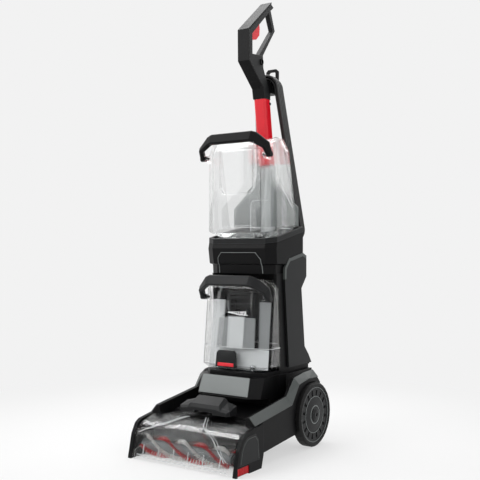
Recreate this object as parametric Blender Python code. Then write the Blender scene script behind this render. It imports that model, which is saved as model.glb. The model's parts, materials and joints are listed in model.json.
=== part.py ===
"""Upright carpet cleaner: foot with brush roll and clear nozzle, reclining body, two tanks, handle.

Metres, +Z up. The foot's lip faces -Y, X = 0 is the plane of symmetry, and the origin lies on
the floor at the middle of the footprint. Every piece is an object of its own; the pieces that
move hang under an empty on their joint's axis.
"""

import math

import bmesh
import bpy
from mathutils import Matrix, Vector

# Common fits
GAP = 0.0003          # between faces that rest on each other
RUN = 0.0010          # running clearance round a moving piece
CLEAR_WALL = 0.0024

# Wheels and axle
WHEEL_RADIUS = 0.077
TYRE_WIDTH = 0.024
TYRE_DEPTH = 0.0105
WHEEL_FACE_X = 0.157      # outer face of the tyre
AXLE_Y = 0.1055
AXLE_RADIUS = 0.004
AXLE_CLEARANCE = 0.0005
WHEEL_SLOTS = 16
WHEEL_SIDES = 32
SLOT_INNER_RADIUS = 0.045
SLOT_OUTER_RADIUS = 0.059
SLOT_WEB = 0.0015         # left closed behind the slots
HUB_CAP_RADIUS = 0.017
HUB_CAP_HEIGHT = 0.0020

# Foot
LIP_Y = -0.2275           # front of the nozzle's lip
CHEEK_OUTER_X = 0.150
CHEEK_INNER_X = 0.1405
BODY_HALF = 0.145
RAIL_INNER_X = 0.124
RAIL_OUTER_X = 0.130
DECK_HALF = 0.118
CHAMBER_REAR_Y = -0.1475
WELL_CLEARANCE = 0.0022
WELL_INNER_X = 0.130
BAY_HALF = 0.1045
BAY_FRONT_Y = -0.003
CAVITY_HALF = 0.138
CAVITY_FRONT_Y = -0.112
CAVITY_REAR_Y = -0.012
CAVITY_ROOF_Z = 0.082
SOLE_THICKNESS = 0.0025

# Brush roll
BRUSH_Y = -0.1855
BRUSH_Z = 0.0258
BRUSH_TIP_RADIUS = 0.0245
BRUSH_CORE_RADIUS = 0.0140
BRUSH_CORE_LEFT = -0.1340
BRUSH_CORE_RIGHT = 0.1170
BRUSH_PIN_RADIUS = 0.004
BRUSH_PIN_END = 0.1465
BRISTLE_BACKING = 0.0016
BRISTLE_ROW_WIDTH = 0.0030
BRISTLE_ROW_PITCH = 0.212      # one turn of a row along the roll
TUFTS_PER_ROW = 63
PULLEY_RADIUS = 0.0130
PULLEY_WIDTH = 0.0100
MOTOR_PULLEY_RADIUS = 0.0065
BELT_THICKNESS = 0.0016
BELT_WIDTH = 0.0070

# Edge brushes
EDGE_BRUSH_LENGTH = 0.040
EDGE_BRUSH_START_Y = -0.2175
EDGE_BRUSH_HEIGHT = 0.0180
EDGE_TUFTS = 26

# Nozzle cover
NOZZLE_HALF = CHEEK_INNER_X - RUN
CHANNEL_RISE = 0.0030
CHANNEL_RAMP = 0.0040
NOZZLE_FLANGE = 0.0120

# Upright body
UPRIGHT_HALF = 0.100
SEAT_Z = 0.186
HUB_RADIUS = 0.026
TANK_BAY_HALF = 0.0860
TANK_BAY_REAR_Y = 0.1025
SPINE_HALF = 0.0940
POD_BOTTOM_Z = 0.4180
POD_FRONT_Y = 0.0015
POD_REAR_Y = 0.1505
POD_TOP_Z = 0.4900        # at the front; the top edge rises to the rear
POD_RAKE = 0.215
POD_WALL = 0.0035
RIM_HEIGHT = 0.0120
RIM_WIDTH = 0.0070
TRAY_DEPTH = 0.0090

# Stem and handle
NECK_HALF = 0.0170
NECK_FRONT_Y = 0.1295
NECK_TOP_Z = 0.6900
STEM_HALF = 0.0170
STEM_DEPTH = 0.0300
STEM_TOP_Z = 0.8550
STEM_TOP_Y = 0.1090       # centre of the stem at its top
STEM_LEAN = 0.1375        # how far the stem leans forward for each metre up
HANDLE_HALF = 0.0163
LIMB_HALF = 0.0066
BAND_THICKNESS = 0.0045

# Cord and cord hooks
CORD_DIAMETER = 0.0070
CORD_PITCH = 0.0076       # between neighbouring turns and layers
HANK_TOP = Vector((0.0, 0.1400, 0.8850))      # centre of the upper bend
HANK_BOTTOM_Z = 0.5300                        # centres of the lower bends
HANK_BOTTOM_Y = 0.2030
HANK_BOTTOM_HALF = 0.0280
HANK_BEND_RADIUS = 0.0255
TURNS_PER_LAYER = 3
POINTS_PER_TURN = 24
HOOK_TIP_Y = 0.2275
HOOK_LIP = 0.0050


# ---------------------------------------------------------------- materials

def material(name, colour, roughness, metallic=0.0, transmission=0.0):
    made = bpy.data.materials.new(name)
    made.use_nodes = True
    shader = made.node_tree.nodes["Principled BSDF"]
    shader.inputs["Base Color"].default_value = (*colour, 1.0)
    shader.inputs["Roughness"].default_value = roughness
    shader.inputs["Metallic"].default_value = metallic
    shader.inputs["Transmission Weight"].default_value = transmission
    return made


# ---------------------------------------------------------------- shape tools

def piece(name, shape, finish, smooth=None):
    """Makes the object of one sub-part from a bmesh; smooth is the angle that stays sharp."""
    bmesh.ops.recalc_face_normals(shape, faces=shape.faces)
    mesh = bpy.data.meshes.new(name)
    shape.to_mesh(mesh)
    shape.free()
    if smooth:
        mesh.shade_smooth()
        mesh.set_sharp_from_angle(angle=math.radians(smooth))
    mesh.materials.append(finish)
    made = bpy.data.objects.new(name, mesh)
    bpy.context.collection.objects.link(made)
    return made


def guide(name, shape):
    """A solid that cuts or is joined to another, and isn't a piece itself."""
    made = piece(name, shape, GUIDE)
    made.hide_render = True
    made.display_type = "WIRE"
    return made


def boolean(target, tool, operation):
    step = target.modifiers.new(tool.name, "BOOLEAN")
    step.object = tool
    step.operation = operation
    step.solver = "EXACT"


def cut(target, name, shape):
    boolean(target, guide(name, shape), "DIFFERENCE")


def join(target, name, shape):
    boolean(target, guide(name, shape), "UNION")


def add_quad(shape, a, b, c, d):
    """A face through four corners, folded along its higher diagonal when they aren't flat."""
    twist = (b.co - a.co).cross(c.co - a.co).dot(d.co - a.co)
    if abs(twist) < 1e-12:
        shape.faces.new((a, b, c, d))
    elif a.co.z + c.co.z > b.co.z + d.co.z:
        shape.faces.new((a, b, c))
        shape.faces.new((a, c, d))
    else:
        shape.faces.new((a, b, d))
        shape.faces.new((b, c, d))


def loft(rings):
    """A closed solid through rings of as many points each, flat at both ends."""
    shape = bmesh.new()
    rows = [[shape.verts.new(point) for point in ring] for ring in rings]
    for low, high in zip(rows, rows[1:]):
        for i, corner in enumerate(low):
            j = (i + 1) % len(low)
            add_quad(shape, corner, low[j], high[j], high[i])
    shape.faces.new(rows[0])
    shape.faces.new(rows[-1])
    return shape


def prism(outline, low, high, along="X"):
    """An outline drawn in the other two axes, drawn out between two planes."""
    place = {
        "X": lambda a, b, c: (c, a, b),
        "Y": lambda a, b, c: (a, c, b),
        "Z": lambda a, b, c: (a, b, c),
    }[along]
    return loft([[place(a, b, level) for a, b in outline] for level in (low, high)])


def box(low, high):
    outline = [(low[0], low[1]), (high[0], low[1]), (high[0], high[1]), (low[0], high[1])]
    return prism(outline, low[2], high[2], along="Z")


def turned(profile, sides, closed=False, along="X", centre=(0.0, 0.0, 0.0)):
    """A profile of (along the axis, radius) points turned round an axis through centre."""
    shape = bmesh.new()
    middle = Vector(centre)
    spin = [2 * math.pi * i / sides for i in range(sides)]
    place = {
        "X": lambda level, a, b: (level, a, b),
        "Y": lambda level, a, b: (b, level, a),
        "Z": lambda level, a, b: (a, b, level),
    }[along]
    rows = [
        [
            shape.verts.new(middle + Vector(place(level, r * math.cos(t), r * math.sin(t))))
            for t in spin
        ]
        for level, r in profile
    ]
    pairs = list(zip(rows, rows[1:]))
    if closed:
        pairs.append((rows[-1], rows[0]))
    for low, high in pairs:
        for i in range(sides):
            j = (i + 1) % sides
            shape.faces.new((low[i], low[j], high[j], high[i]))
    if not closed:
        shape.faces.new(rows[0])
        shape.faces.new(rows[-1])
    return shape


def disc(radius, low, high, sides, along="X", centre=(0.0, 0.0, 0.0)):
    return turned([(low, radius), (high, radius)], sides, along=along, centre=centre)


def inset(outline, distance):
    """The outline moved inwards by a distance, with mitred corners; negative moves it out."""
    area = sum(
        a[0] * b[1] - b[0] * a[1] for a, b in zip(outline, outline[1:] + outline[:1])
    )
    turn = 1.0 if area > 0 else -1.0
    moved = []
    for i, point in enumerate(outline):
        before = Vector(point) - Vector(outline[i - 1])
        after = Vector(outline[(i + 1) % len(outline)]) - Vector(point)
        first = Vector((-before.y, before.x)).normalized() * turn
        second = Vector((-after.y, after.x)).normalized() * turn
        corner = (first + second).normalized()
        moved.append(tuple(Vector(point) + corner * distance / corner.dot(first)))
    return moved


def mirrored(half):
    """A ring from its right half, listed from the middle plane and back to it."""
    return half + [(-x, y) for x, y in reversed(half) if abs(x) > 1e-9]


def grouped(name, at, pieces):
    """Puts pieces under an empty that stands on their joint's axis."""
    pivot = bpy.data.objects.new(name, None)
    pivot.location = at
    pivot.empty_display_size = 0.02
    bpy.context.collection.objects.link(pivot)
    for item in pieces:
        item.parent = pivot
        item.matrix_parent_inverse = Matrix.Translation(at).inverted()
    return pivot


# ---------------------------------------------------------------- finishes

GUIDE = material("guide", (1.0, 0.0, 1.0), 0.5)
BLACK = material("black_abs", (0.012, 0.012, 0.013), 0.38)
DARK_GREY = material("dark_grey_abs", (0.022, 0.023, 0.023), 0.45)
GREY = material("grey_abs", (0.16, 0.17, 0.17), 0.40)
LIGHT_GREY = material("light_grey_abs", (0.55, 0.56, 0.56), 0.35)
RED = material("red_abs", (0.72, 0.012, 0.025), 0.30)
SMOKED = material("smoked_polycarbonate", (0.75, 0.76, 0.77), 0.06, transmission=0.9)
TYRE = material("tyre_rubber", (0.010, 0.010, 0.010), 0.70)
STEEL = material("plated_steel", (0.55, 0.55, 0.56), 0.30, metallic=1.0)
RED_NYLON = material("red_nylon", (0.62, 0.012, 0.02), 0.45)
WHITE_NYLON = material("white_nylon", (0.80, 0.80, 0.79), 0.45)
CORD_PVC = material("cord_pvc", (0.015, 0.015, 0.016), 0.50)


# ---------------------------------------------------------------- foot

SOLE_Z = 0.0
CHEEK_OUTLINE = [
    (-0.2265, SOLE_Z), (-0.2145, 0.0540), (-0.2020, 0.0770), (-0.1900, 0.0845),
    (-0.1475, 0.0920), (-0.1195, 0.0955), (-0.1195, 0.0290), (-0.1280, SOLE_Z),
]
# Each station along the foot: y, then the heights of its bottom, deck, side rail and side
FOOT_STATIONS = [
    (CHAMBER_REAR_Y, SOLE_Z, 0.0888, 0.1100, 0.0930),
    (-0.1280, SOLE_Z, 0.0888, 0.1130, 0.0955),
    (-0.1195, 0.0290, 0.0888, 0.1145, 0.0970),
    (-0.0940, 0.0310, 0.0888, 0.1180, 0.1000),
    (-0.0900, 0.0315, 0.0940, 0.1185, 0.1005),
    (0.0095, 0.0405, 0.1100, 0.1330, 0.1130),
    (0.0435, 0.0430, 0.1180, 0.1700, 0.1560),
    (0.0900, 0.0450, 0.1240, 0.1770, 0.1640),
    (0.1350, 0.0480, 0.1240, 0.1790, 0.1630),
    (0.1480, 0.0600, 0.1200, 0.1600, 0.1500),
]
TRIM_THICKNESS = 0.0020
TRIM_STATIONS = FOOT_STATIONS[:9]


def foot_ring(y, bottom, deck, rail, side):
    half = [
        (0.0, deck), (DECK_HALF, deck), (RAIL_INNER_X, rail), (RAIL_OUTER_X, rail),
        (BODY_HALF, side), (BODY_HALF, bottom), (0.0, bottom),
    ]
    return [(x, y, z) for x, z in mirrored(half)]


def foot_chassis():
    chassis = piece("foot_chassis", loft([foot_ring(*row) for row in FOOT_STATIONS]), BLACK)
    bay_low = (-BAY_HALF, BAY_FRONT_Y, -0.02)
    cut(chassis, "upright_bay", box(bay_low, (BAY_HALF, 0.20, 0.30)))
    well = WHEEL_RADIUS + WELL_CLEARANCE
    axle = (0.0, AXLE_Y, WHEEL_RADIUS)
    for side in (-1, 1):
        reach = sorted((side * WELL_INNER_X, side * 0.18))
        cut(chassis, "wheel_well", disc(well, *reach, 32, centre=axle))
        cheek = sorted((side * CHEEK_INNER_X, side * CHEEK_OUTER_X))
        join(chassis, "cheek", prism(CHEEK_OUTLINE, *cheek))
    ceiling = [
        (-0.1935, 0.0742), (-0.1850, 0.0783), (-0.1440, 0.0888),
        (-0.1440, 0.0800), (-0.1850, 0.0735), (-0.1920, 0.0702),
    ]
    reach = CHEEK_INNER_X + 0.001
    join(chassis, "chamber_ceiling", prism(ceiling, -reach, reach))
    cavity = [
        (CAVITY_FRONT_Y, -0.01), (CAVITY_REAR_Y, -0.01),
        (CAVITY_REAR_Y, CAVITY_ROOF_Z), (CAVITY_FRONT_Y, CAVITY_ROOF_Z),
    ]
    cut(chassis, "motor_cavity", prism(cavity, -CAVITY_HALF, CAVITY_HALF))
    slot_half = PULLEY_WIDTH / 2 + RUN
    cut(chassis, "belt_slot", box(
        (BELT_X - slot_half, CHAMBER_REAR_Y - 0.01, BRUSH_Z - 0.019),
        (BELT_X + slot_half, CAVITY_FRONT_Y + 0.01, 0.074),
    ))
    bore = AXLE_RADIUS + AXLE_CLEARANCE
    cut(chassis, "axle_bore", disc(bore, -0.2, 0.2, 16, centre=axle))
    bearing = BRUSH_PIN_RADIUS + AXLE_CLEARANCE
    brush = (0.0, BRUSH_Y, BRUSH_Z)
    cut(chassis, "brush_bearing", disc(bearing, -0.16, 0.16, 16, centre=brush))
    for side in (-1, 1):
        reach = sorted((side * (CHEEK_OUTER_X - PANEL_DEPTH), side * 0.16))
        cut(chassis, "panel_recess", prism(inset(PANEL_OUTLINE, -GAP), *reach))
        notch = sorted((side * EDGE_NOTCH_X, side * 0.16))
        cut(chassis, "edge_notch", box(
            (notch[0], EDGE_BRUSH_START_Y - 3 * RUN, -0.01),
            (notch[1], EDGE_BRUSH_START_Y + EDGE_BRUSH_LENGTH + RUN, EDGE_BRUSH_HEIGHT + GAP),
        ))
    cut(chassis, "latch_guide", box(
        (-LATCH_POST_HALF - AXLE_CLEARANCE, LATCH_POST_Y - AXLE_CLEARANCE, 0.07),
        (LATCH_POST_HALF + AXLE_CLEARANCE, LATCH_POST_Y + LATCH_POST_DEPTH + AXLE_CLEARANCE, 0.12),
    ))
    return chassis


def side_trim(side):
    """The grey strip over a rail's chamfer, bent where the rail climbs over the wheel."""
    rings = []
    for y, _, _, rail, flank in TRIM_STATIONS:
        top = Vector((RAIL_OUTER_X, rail))
        low = Vector((BODY_HALF, flank))
        normal = Vector((top.y - low.y, low.x - top.x)).normalized()
        under, over = normal * GAP, normal * (GAP + TRIM_THICKNESS)
        corners = (top + under, low + under, low + over, top + over)
        rings.append([(side * corner.x, y, corner.y) for corner in corners])
    name = "side_trim_right" if side > 0 else "side_trim_left"
    return piece(name, loft(rings), GREY)


PANEL_DEPTH = 0.0025
PANEL_OUTLINE = [
    (-0.2130, 0.0220), (-0.2060, 0.0520), (-0.1960, 0.0680), (-0.1830, 0.0770),
    (-0.1520, 0.0790), (-0.1400, 0.0660), (-0.1350, 0.0220),
]


def side_panel(side):
    outer = CHEEK_OUTER_X
    reach = sorted((side * (outer - PANEL_DEPTH + GAP), side * outer))
    name = "side_panel_right" if side > 0 else "side_panel_left"
    made = piece(name, prism(PANEL_OUTLINE, *reach), DARK_GREY)
    return made


def sole_plate():
    edge = GAP
    front, rear = CAVITY_FRONT_Y + edge, CAVITY_REAR_Y - edge
    fall = (0.0405 - 0.0290) / (0.0095 + 0.1195)
    level = lambda y: 0.0290 + fall * (y + 0.1195)
    outline = [
        (front, level(front)), (rear, level(rear)),
        (rear, level(rear) + SOLE_THICKNESS), (front, level(front) + SOLE_THICKNESS),
    ]
    half = CAVITY_HALF - edge
    plate = piece("sole_plate", prism(outline, -half, half), DARK_GREY)
    return plate


# ---------------------------------------------------------------- brush drive

BELT_X = 0.1260
MOTOR_Y = -0.0640
MOTOR_Z = 0.0580
MOTOR_RADIUS = 0.0205
MOTOR_LEFT = -0.0200
MOTOR_RIGHT = 0.1050
SHAFT_RADIUS = 0.0025


def pulley(name, radius, low, high, at):
    """A flanged pulley whose belt runs between two low rims."""
    rim = 0.0008
    lip = 0.0010
    profile = [(low, radius + rim), (low + lip, radius + rim), (low + lip, radius),
               (high - lip, radius), (high - lip, radius + rim), (high, radius + rim)]
    made = piece(name, turned(profile, 20), DARK_GREY, smooth=30)
    made.location = at
    return made


def belt_loop(offset):
    """The outline round both pulleys, at a distance from their running faces."""
    centres = [(BRUSH_Y, BRUSH_Z, PULLEY_RADIUS), (MOTOR_Y, MOTOR_Z, MOTOR_PULLEY_RADIUS)]
    steps = 28
    outline = []
    for i in range(steps):
        turn = 2 * math.pi * (i + 0.5) / steps
        ahead = Vector((math.cos(turn), math.sin(turn)))
        y, z, radius = max(centres, key=lambda c: ahead.x * c[0] + ahead.y * c[1] + c[2])
        reach = (radius + offset) / math.cos(math.pi / steps)
        outline.append((y + ahead.x * reach, z + ahead.y * reach))
    return outline


def drive_belt():
    low, high = BELT_X - BELT_WIDTH / 2, BELT_X + BELT_WIDTH / 2
    belt = piece("drive_belt", prism(belt_loop(GAP + BELT_THICKNESS), low, high), TYRE)
    cut(belt, "belt_inside", prism(belt_loop(GAP), low - 0.01, high + 0.01))
    return belt


def brush_motor():
    end = MOTOR_RIGHT - 0.006
    profile = [
        (MOTOR_LEFT, 0.008), (MOTOR_LEFT + 0.004, 0.008), (MOTOR_LEFT + 0.004, MOTOR_RADIUS),
        (end, MOTOR_RADIUS), (end, 0.010), (MOTOR_RIGHT, 0.010),
    ]
    motor = piece("brush_motor", turned(profile, 24), STEEL, smooth=30)
    motor.location = (0.0, MOTOR_Y, MOTOR_Z)
    foot_depth = MOTOR_RADIUS * 0.5
    top = CAVITY_ROOF_Z - MOTOR_Z - GAP
    join(motor, "motor_bracket", box(
        (0.0, MOTOR_Y - foot_depth, MOTOR_Z), (0.060, MOTOR_Y + foot_depth, MOTOR_Z + top),
    ))
    cut(motor, "shaft_bore", disc(
        SHAFT_RADIUS + AXLE_CLEARANCE, 0.03, 0.2, 12, centre=(0.0, MOTOR_Y, MOTOR_Z)))
    return motor


def motor_pulley():
    low, high = BELT_X - PULLEY_WIDTH / 2, BELT_X + PULLEY_WIDTH / 2
    made = pulley("motor_pulley", MOTOR_PULLEY_RADIUS, low, high, (0.0, MOTOR_Y, MOTOR_Z))
    shaft = disc(SHAFT_RADIUS, 0.06, low + 0.002, 12, centre=(0.0, MOTOR_Y, MOTOR_Z))
    join(made, "motor_shaft", shaft)
    return made


# ---------------------------------------------------------------- brush roll

def brush_core():
    """The roll's body with a bearing pin at each end; its right pin carries the pulley."""
    pin = BRUSH_PIN_RADIUS
    profile = [
        (-BRUSH_PIN_END, pin), (BRUSH_CORE_LEFT, pin), (BRUSH_CORE_LEFT, BRUSH_CORE_RADIUS),
        (BRUSH_CORE_RIGHT, BRUSH_CORE_RADIUS), (BRUSH_CORE_RIGHT, pin), (BRUSH_PIN_END, pin),
    ]
    core = piece("brush_core", turned(profile, 24), LIGHT_GREY, smooth=30)
    core.location = (0.0, BRUSH_Y, BRUSH_Z)
    return core


def brush_pulley():
    low, high = BELT_X - PULLEY_WIDTH / 2, BELT_X + PULLEY_WIDTH / 2
    made = pulley("brush_pulley", PULLEY_RADIUS, low, high, (0.0, BRUSH_Y, BRUSH_Z))
    cut(made, "pin_bore", disc(
        BRUSH_PIN_RADIUS + GAP, low - 0.01, high + 0.01, 24, centre=(0.0, BRUSH_Y, BRUSH_Z)))
    return made


def tufted_strip(frames, row_width, backing, length):
    """A strip of backing through the frames, with a tuft on every other stretch of it.

    A frame is (point on the backing's foot, the way across the strip, the way out).
    """
    shape = bmesh.new()
    rings = []
    for foot, across, out in frames:
        half = across * row_width / 2
        rings.append([
            shape.verts.new(foot),
            shape.verts.new(foot + half + out * backing),
            shape.verts.new(foot - half + out * backing),
        ])
    for i, (low, high) in enumerate(zip(rings, rings[1:])):
        shape.faces.new((low[0], low[1], high[1], high[0]))
        shape.faces.new((low[2], low[0], high[0], high[2]))
        crown = (low[1], low[2], high[2], high[1])
        if i % 2:
            shape.faces.new(crown)
            continue
        out = (frames[i][2] + frames[i + 1][2]).normalized() * length
        ridge = [shape.verts.new((a.co + b.co) / 2 + out) for a, b in (crown[:2], crown[2:])]
        shape.faces.new((crown[0], crown[1], ridge[0]))
        shape.faces.new((crown[2], crown[3], ridge[1]))
        shape.faces.new((crown[1], crown[2], ridge[1], ridge[0]))
        shape.faces.new((crown[3], crown[0], ridge[0], ridge[1]))
    shape.faces.new(rings[0])
    shape.faces.new(rings[-1])
    return shape


def bristle_row(name, start_turn, finish):
    """One spiral row of tufts round the roll."""
    low, high = BRUSH_CORE_LEFT + 0.004, BRUSH_CORE_RIGHT - 0.003
    steps = 2 * TUFTS_PER_ROW - 1
    foot_radius = BRUSH_CORE_RADIUS + GAP
    climb = 2 * math.pi / BRISTLE_ROW_PITCH
    frames = []
    for i in range(steps + 1):
        x = low + (high - low) * i / steps
        turn = start_turn * 2 * math.pi + climb * x
        out = Vector((0.0, math.cos(turn), math.sin(turn)))
        round_it = Vector((0.0, -math.sin(turn), math.cos(turn)))
        run = (Vector((1.0, 0.0, 0.0)) + round_it * climb * foot_radius).normalized()
        foot = Vector((x, 0.0, 0.0)) + out * foot_radius
        frames.append((foot, run.cross(out), out))
    length = BRUSH_TIP_RADIUS - foot_radius - BRISTLE_BACKING
    row = piece(name, tufted_strip(frames, BRISTLE_ROW_WIDTH, BRISTLE_BACKING, length), finish)
    row.location = (0.0, BRUSH_Y, BRUSH_Z)
    return row


EDGE_NOTCH_X = 0.1452


def edge_brush(side):
    """A short comb of bristles that hangs in the notch of a cheek."""
    root_x = side * (EDGE_NOTCH_X + (CHEEK_OUTER_X - EDGE_NOTCH_X) / 2)
    steps = 2 * EDGE_TUFTS - 1
    down = Vector((side * 0.10, -0.12, -1.0)).normalized()
    across = Vector((1.0, 0.0, 0.0))
    frames = []
    for i in range(steps + 1):
        y = EDGE_BRUSH_START_Y + EDGE_BRUSH_LENGTH * i / steps
        frames.append((Vector((root_x, y, EDGE_BRUSH_HEIGHT)), across, down))
    backing = 0.0030
    length = EDGE_BRUSH_HEIGHT - backing - 0.0015
    name = "edge_brush_right" if side > 0 else "edge_brush_left"
    return piece(name, tufted_strip(frames, 0.0036, backing, length), RED_NYLON)


# ---------------------------------------------------------------- nozzle and latch

# Each station down the nozzle: y, z, half width, half width of the channel, depth of the flange
NOZZLE_STATIONS = [
    (LIP_Y, 0.0015, NOZZLE_HALF, 0.1300, 0.0058),
    (-0.2230, 0.0215, NOZZLE_HALF, 0.1290, NOZZLE_FLANGE),
    (-0.2155, 0.0540, NOZZLE_HALF, 0.0780, NOZZLE_FLANGE),
    (-0.2085, 0.0695, NOZZLE_HALF, 0.0540, 0.0090),
    (-0.2000, 0.0785, NOZZLE_HALF, 0.0400, 0.0058),
    (-0.1850, 0.0850, NOZZLE_HALF, 0.0340, 0.0058),
    (-0.1495, 0.0958, NOZZLE_HALF, 0.0260, 0.0058),
    (-0.1482, 0.0960, 0.1140, 0.0260, 0.0058),
    (-0.0955, 0.0950, 0.0720, 0.0200, 0.0058),
]


def swept_ring(stations, i, section):
    """A section of (x, height over the surface) points, set square to the stations' line."""
    here = Vector(stations[i][:2])
    before = Vector(stations[max(i - 1, 0)][:2])
    after = Vector(stations[min(i + 1, len(stations) - 1)][:2])
    first = (here - before).normalized() if i else (after - here).normalized()
    second = (after - here).normalized() if i < len(stations) - 1 else first
    along = (first + second).normalized()
    out = Vector((-along.y, along.x)) / max(along.dot(first), 0.5)
    return [(x, here.x + out.x * n, here.y + out.y * n) for x, n in section]


def nozzle_window():
    """The clear cover: one moulded sheet with the suction channel raised in it."""
    rings = []
    for i, (_, _, half, channel, flange) in enumerate(NOZZLE_STATIONS):
        low, wall = -CHANNEL_RISE, CLEAR_WALL
        ramp = min(CHANNEL_RAMP, half - channel - 0.003)
        foot = channel + ramp
        outer = [(0.0, 0.0), (channel, 0.0), (foot, low), (half, low), (half, -flange)]
        inner = [
            (half - wall, -flange), (half - wall, low - wall), (foot - wall / 3, low - wall),
            (channel - wall / 3, -wall), (0.0, -wall),
        ]
        section = [*outer, *inner]
        section += [(-x, n) for x, n in reversed(section) if x > 1e-9]
        rings.append(swept_ring(NOZZLE_STATIONS, i, section))
    return piece("nozzle_window", loft(rings), SMOKED)


def suction_channel():
    """The inner wall that closes the raised channel in front of the brush."""
    outer = -CHANNEL_RISE - CLEAR_WALL - GAP
    inner = outer - 0.0012
    rings = []
    for i in range(5):
        half, channel = NOZZLE_STATIONS[i][2:4]
        reach = min(channel + 0.012, half - CLEAR_WALL - RUN)
        section = [(-reach, outer), (reach, outer), (reach, inner), (-reach, inner)]
        rings.append(swept_ring(NOZZLE_STATIONS, i, section))
    return piece("suction_channel", loft(rings), SMOKED)


LATCH_POST_HALF = 0.0120
LATCH_POST_Y = -0.0840
LATCH_POST_DEPTH = 0.0080
LATCH_POST_FOOT_Z = 0.0835
LATCH_BOTTOM_Z = 0.1030
ARCH_HALF = 0.0300        # the hollow under the latch's front
ARCH_TOP_Z = 0.1090
ARCH_END_Y = -0.1200


def nozzle_latch():
    """The latch's winged button, faceted on top and arched below, on the post that guides it."""
    # y, top height, half widths of the top, shoulder and wing, shoulder height, wing height
    stations = [
        (-0.1400, 0.1160, 0.034, 0.046, 0.064, 0.1130, 0.1110),
        (-0.1350, 0.1240, 0.040, 0.048, 0.070, 0.1180, 0.1150),
        (-0.1070, 0.1380, 0.036, 0.046, 0.070, 0.1290, 0.1230),
        (-0.0960, 0.1330, 0.034, 0.044, 0.060, 0.1230, 0.1160),
        (-0.0740, 0.1140, 0.020, 0.026, 0.032, 0.1120, 0.1100),
    ]
    rings = []
    for y, top, a, b, c, shoulder, wing in stations:
        half = [(0.0, top), (a, top), (b, shoulder), (c, wing), (c, LATCH_BOTTOM_Z),
                (0.0, LATCH_BOTTOM_Z)]
        rings.append([(x, y, z) for x, z in mirrored(half)])
    latch = piece("nozzle_latch", loft(rings), DARK_GREY)
    arch = [(-ARCH_HALF, 0.090), (ARCH_HALF, 0.090), (ARCH_HALF - 0.006, ARCH_TOP_Z),
            (0.006 - ARCH_HALF, ARCH_TOP_Z)]
    cut(latch, "latch_arch", prism(arch, -0.150, ARCH_END_Y, along="Y"))
    join(latch, "latch_post", box(
        (-LATCH_POST_HALF, LATCH_POST_Y, LATCH_POST_FOOT_Z),
        (LATCH_POST_HALF, LATCH_POST_Y + LATCH_POST_DEPTH, LATCH_BOTTOM_Z + 0.004),
    ))
    return latch


# ---------------------------------------------------------------- wheels

def wheel_axle():
    reach = WHEEL_FACE_X - 0.0005
    axle = piece("wheel_axle", disc(AXLE_RADIUS, -reach, reach, 16), STEEL, smooth=30)
    axle.location = (0.0, AXLE_Y, WHEEL_RADIUS)
    return axle


def tyre(name, side):
    inner = WHEEL_FACE_X - TYRE_WIDTH
    seat = WHEEL_RADIUS - TYRE_DEPTH
    rounding = 0.0035
    profile = [
        (inner, seat), (inner, WHEEL_RADIUS - rounding), (inner + rounding, WHEEL_RADIUS),
        (WHEEL_FACE_X - rounding, WHEEL_RADIUS), (WHEEL_FACE_X - 0.0005, WHEEL_RADIUS - rounding),
        (WHEEL_FACE_X, WHEEL_RADIUS - 2 * rounding), (WHEEL_FACE_X - 0.0015, seat),
    ]
    made = piece(name, turned([(side * x, r) for x, r in profile], WHEEL_SIDES, closed=True),
                 TYRE, smooth=30)
    made.location = (0.0, AXLE_Y, WHEEL_RADIUS)
    return made


def wheel_disc(name, side):
    """The wheel's face with its ring of slots between hub and rim, and the boss on the axle."""
    rim = WHEEL_RADIUS - TYRE_DEPTH - GAP
    bore = AXLE_RADIUS + AXLE_CLEARANCE
    face = WHEEL_FACE_X - 0.0030
    back = face - 0.0060
    profile = [
        (back - 0.012, bore), (back - 0.012, 0.012), (back, 0.014), (back, rim - 0.004),
        (face - 0.016, rim - 0.003), (face - 0.016, rim), (face, rim), (face, rim - 0.002),
        (face - 0.0015, SLOT_OUTER_RADIUS + 0.002), (face - 0.0015, SLOT_INNER_RADIUS - 0.002),
        (face + 0.0005, 0.026), (face, HUB_CAP_RADIUS), (WHEEL_FACE_X, HUB_CAP_RADIUS - 0.002),
        (WHEEL_FACE_X + HUB_CAP_HEIGHT, 0.009), (WHEEL_FACE_X + HUB_CAP_HEIGHT, bore),
    ]
    made = piece(name, turned([(side * x, r) for x, r in profile], WHEEL_SIDES, closed=True),
                 DARK_GREY, smooth=30)
    made.location = (0.0, AXLE_Y, WHEEL_RADIUS)
    slots = bmesh.new()
    for i in range(WHEEL_SLOTS):
        turn = Matrix.Rotation(2 * math.pi * (i + 0.5) / WHEEL_SLOTS, 4, "X")
        place = Matrix.Translation((0.0, AXLE_Y, WHEEL_RADIUS)) @ turn
        low, high = sorted((side * (back + SLOT_WEB), side * 0.17))
        slot = prism([
            (-0.0030, SLOT_INNER_RADIUS), (0.0030, SLOT_INNER_RADIUS),
            (0.0042, SLOT_OUTER_RADIUS), (-0.0042, SLOT_OUTER_RADIUS),
        ], low, high)
        slot.transform(place)
        part_mesh = bpy.data.meshes.new("slot")
        bmesh.ops.recalc_face_normals(slot, faces=slot.faces)
        slot.to_mesh(part_mesh)
        slots.from_mesh(part_mesh)
        slot.free()
    cut(made, "rim_slots", slots)
    return made


# ---------------------------------------------------------------- upright base

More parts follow.
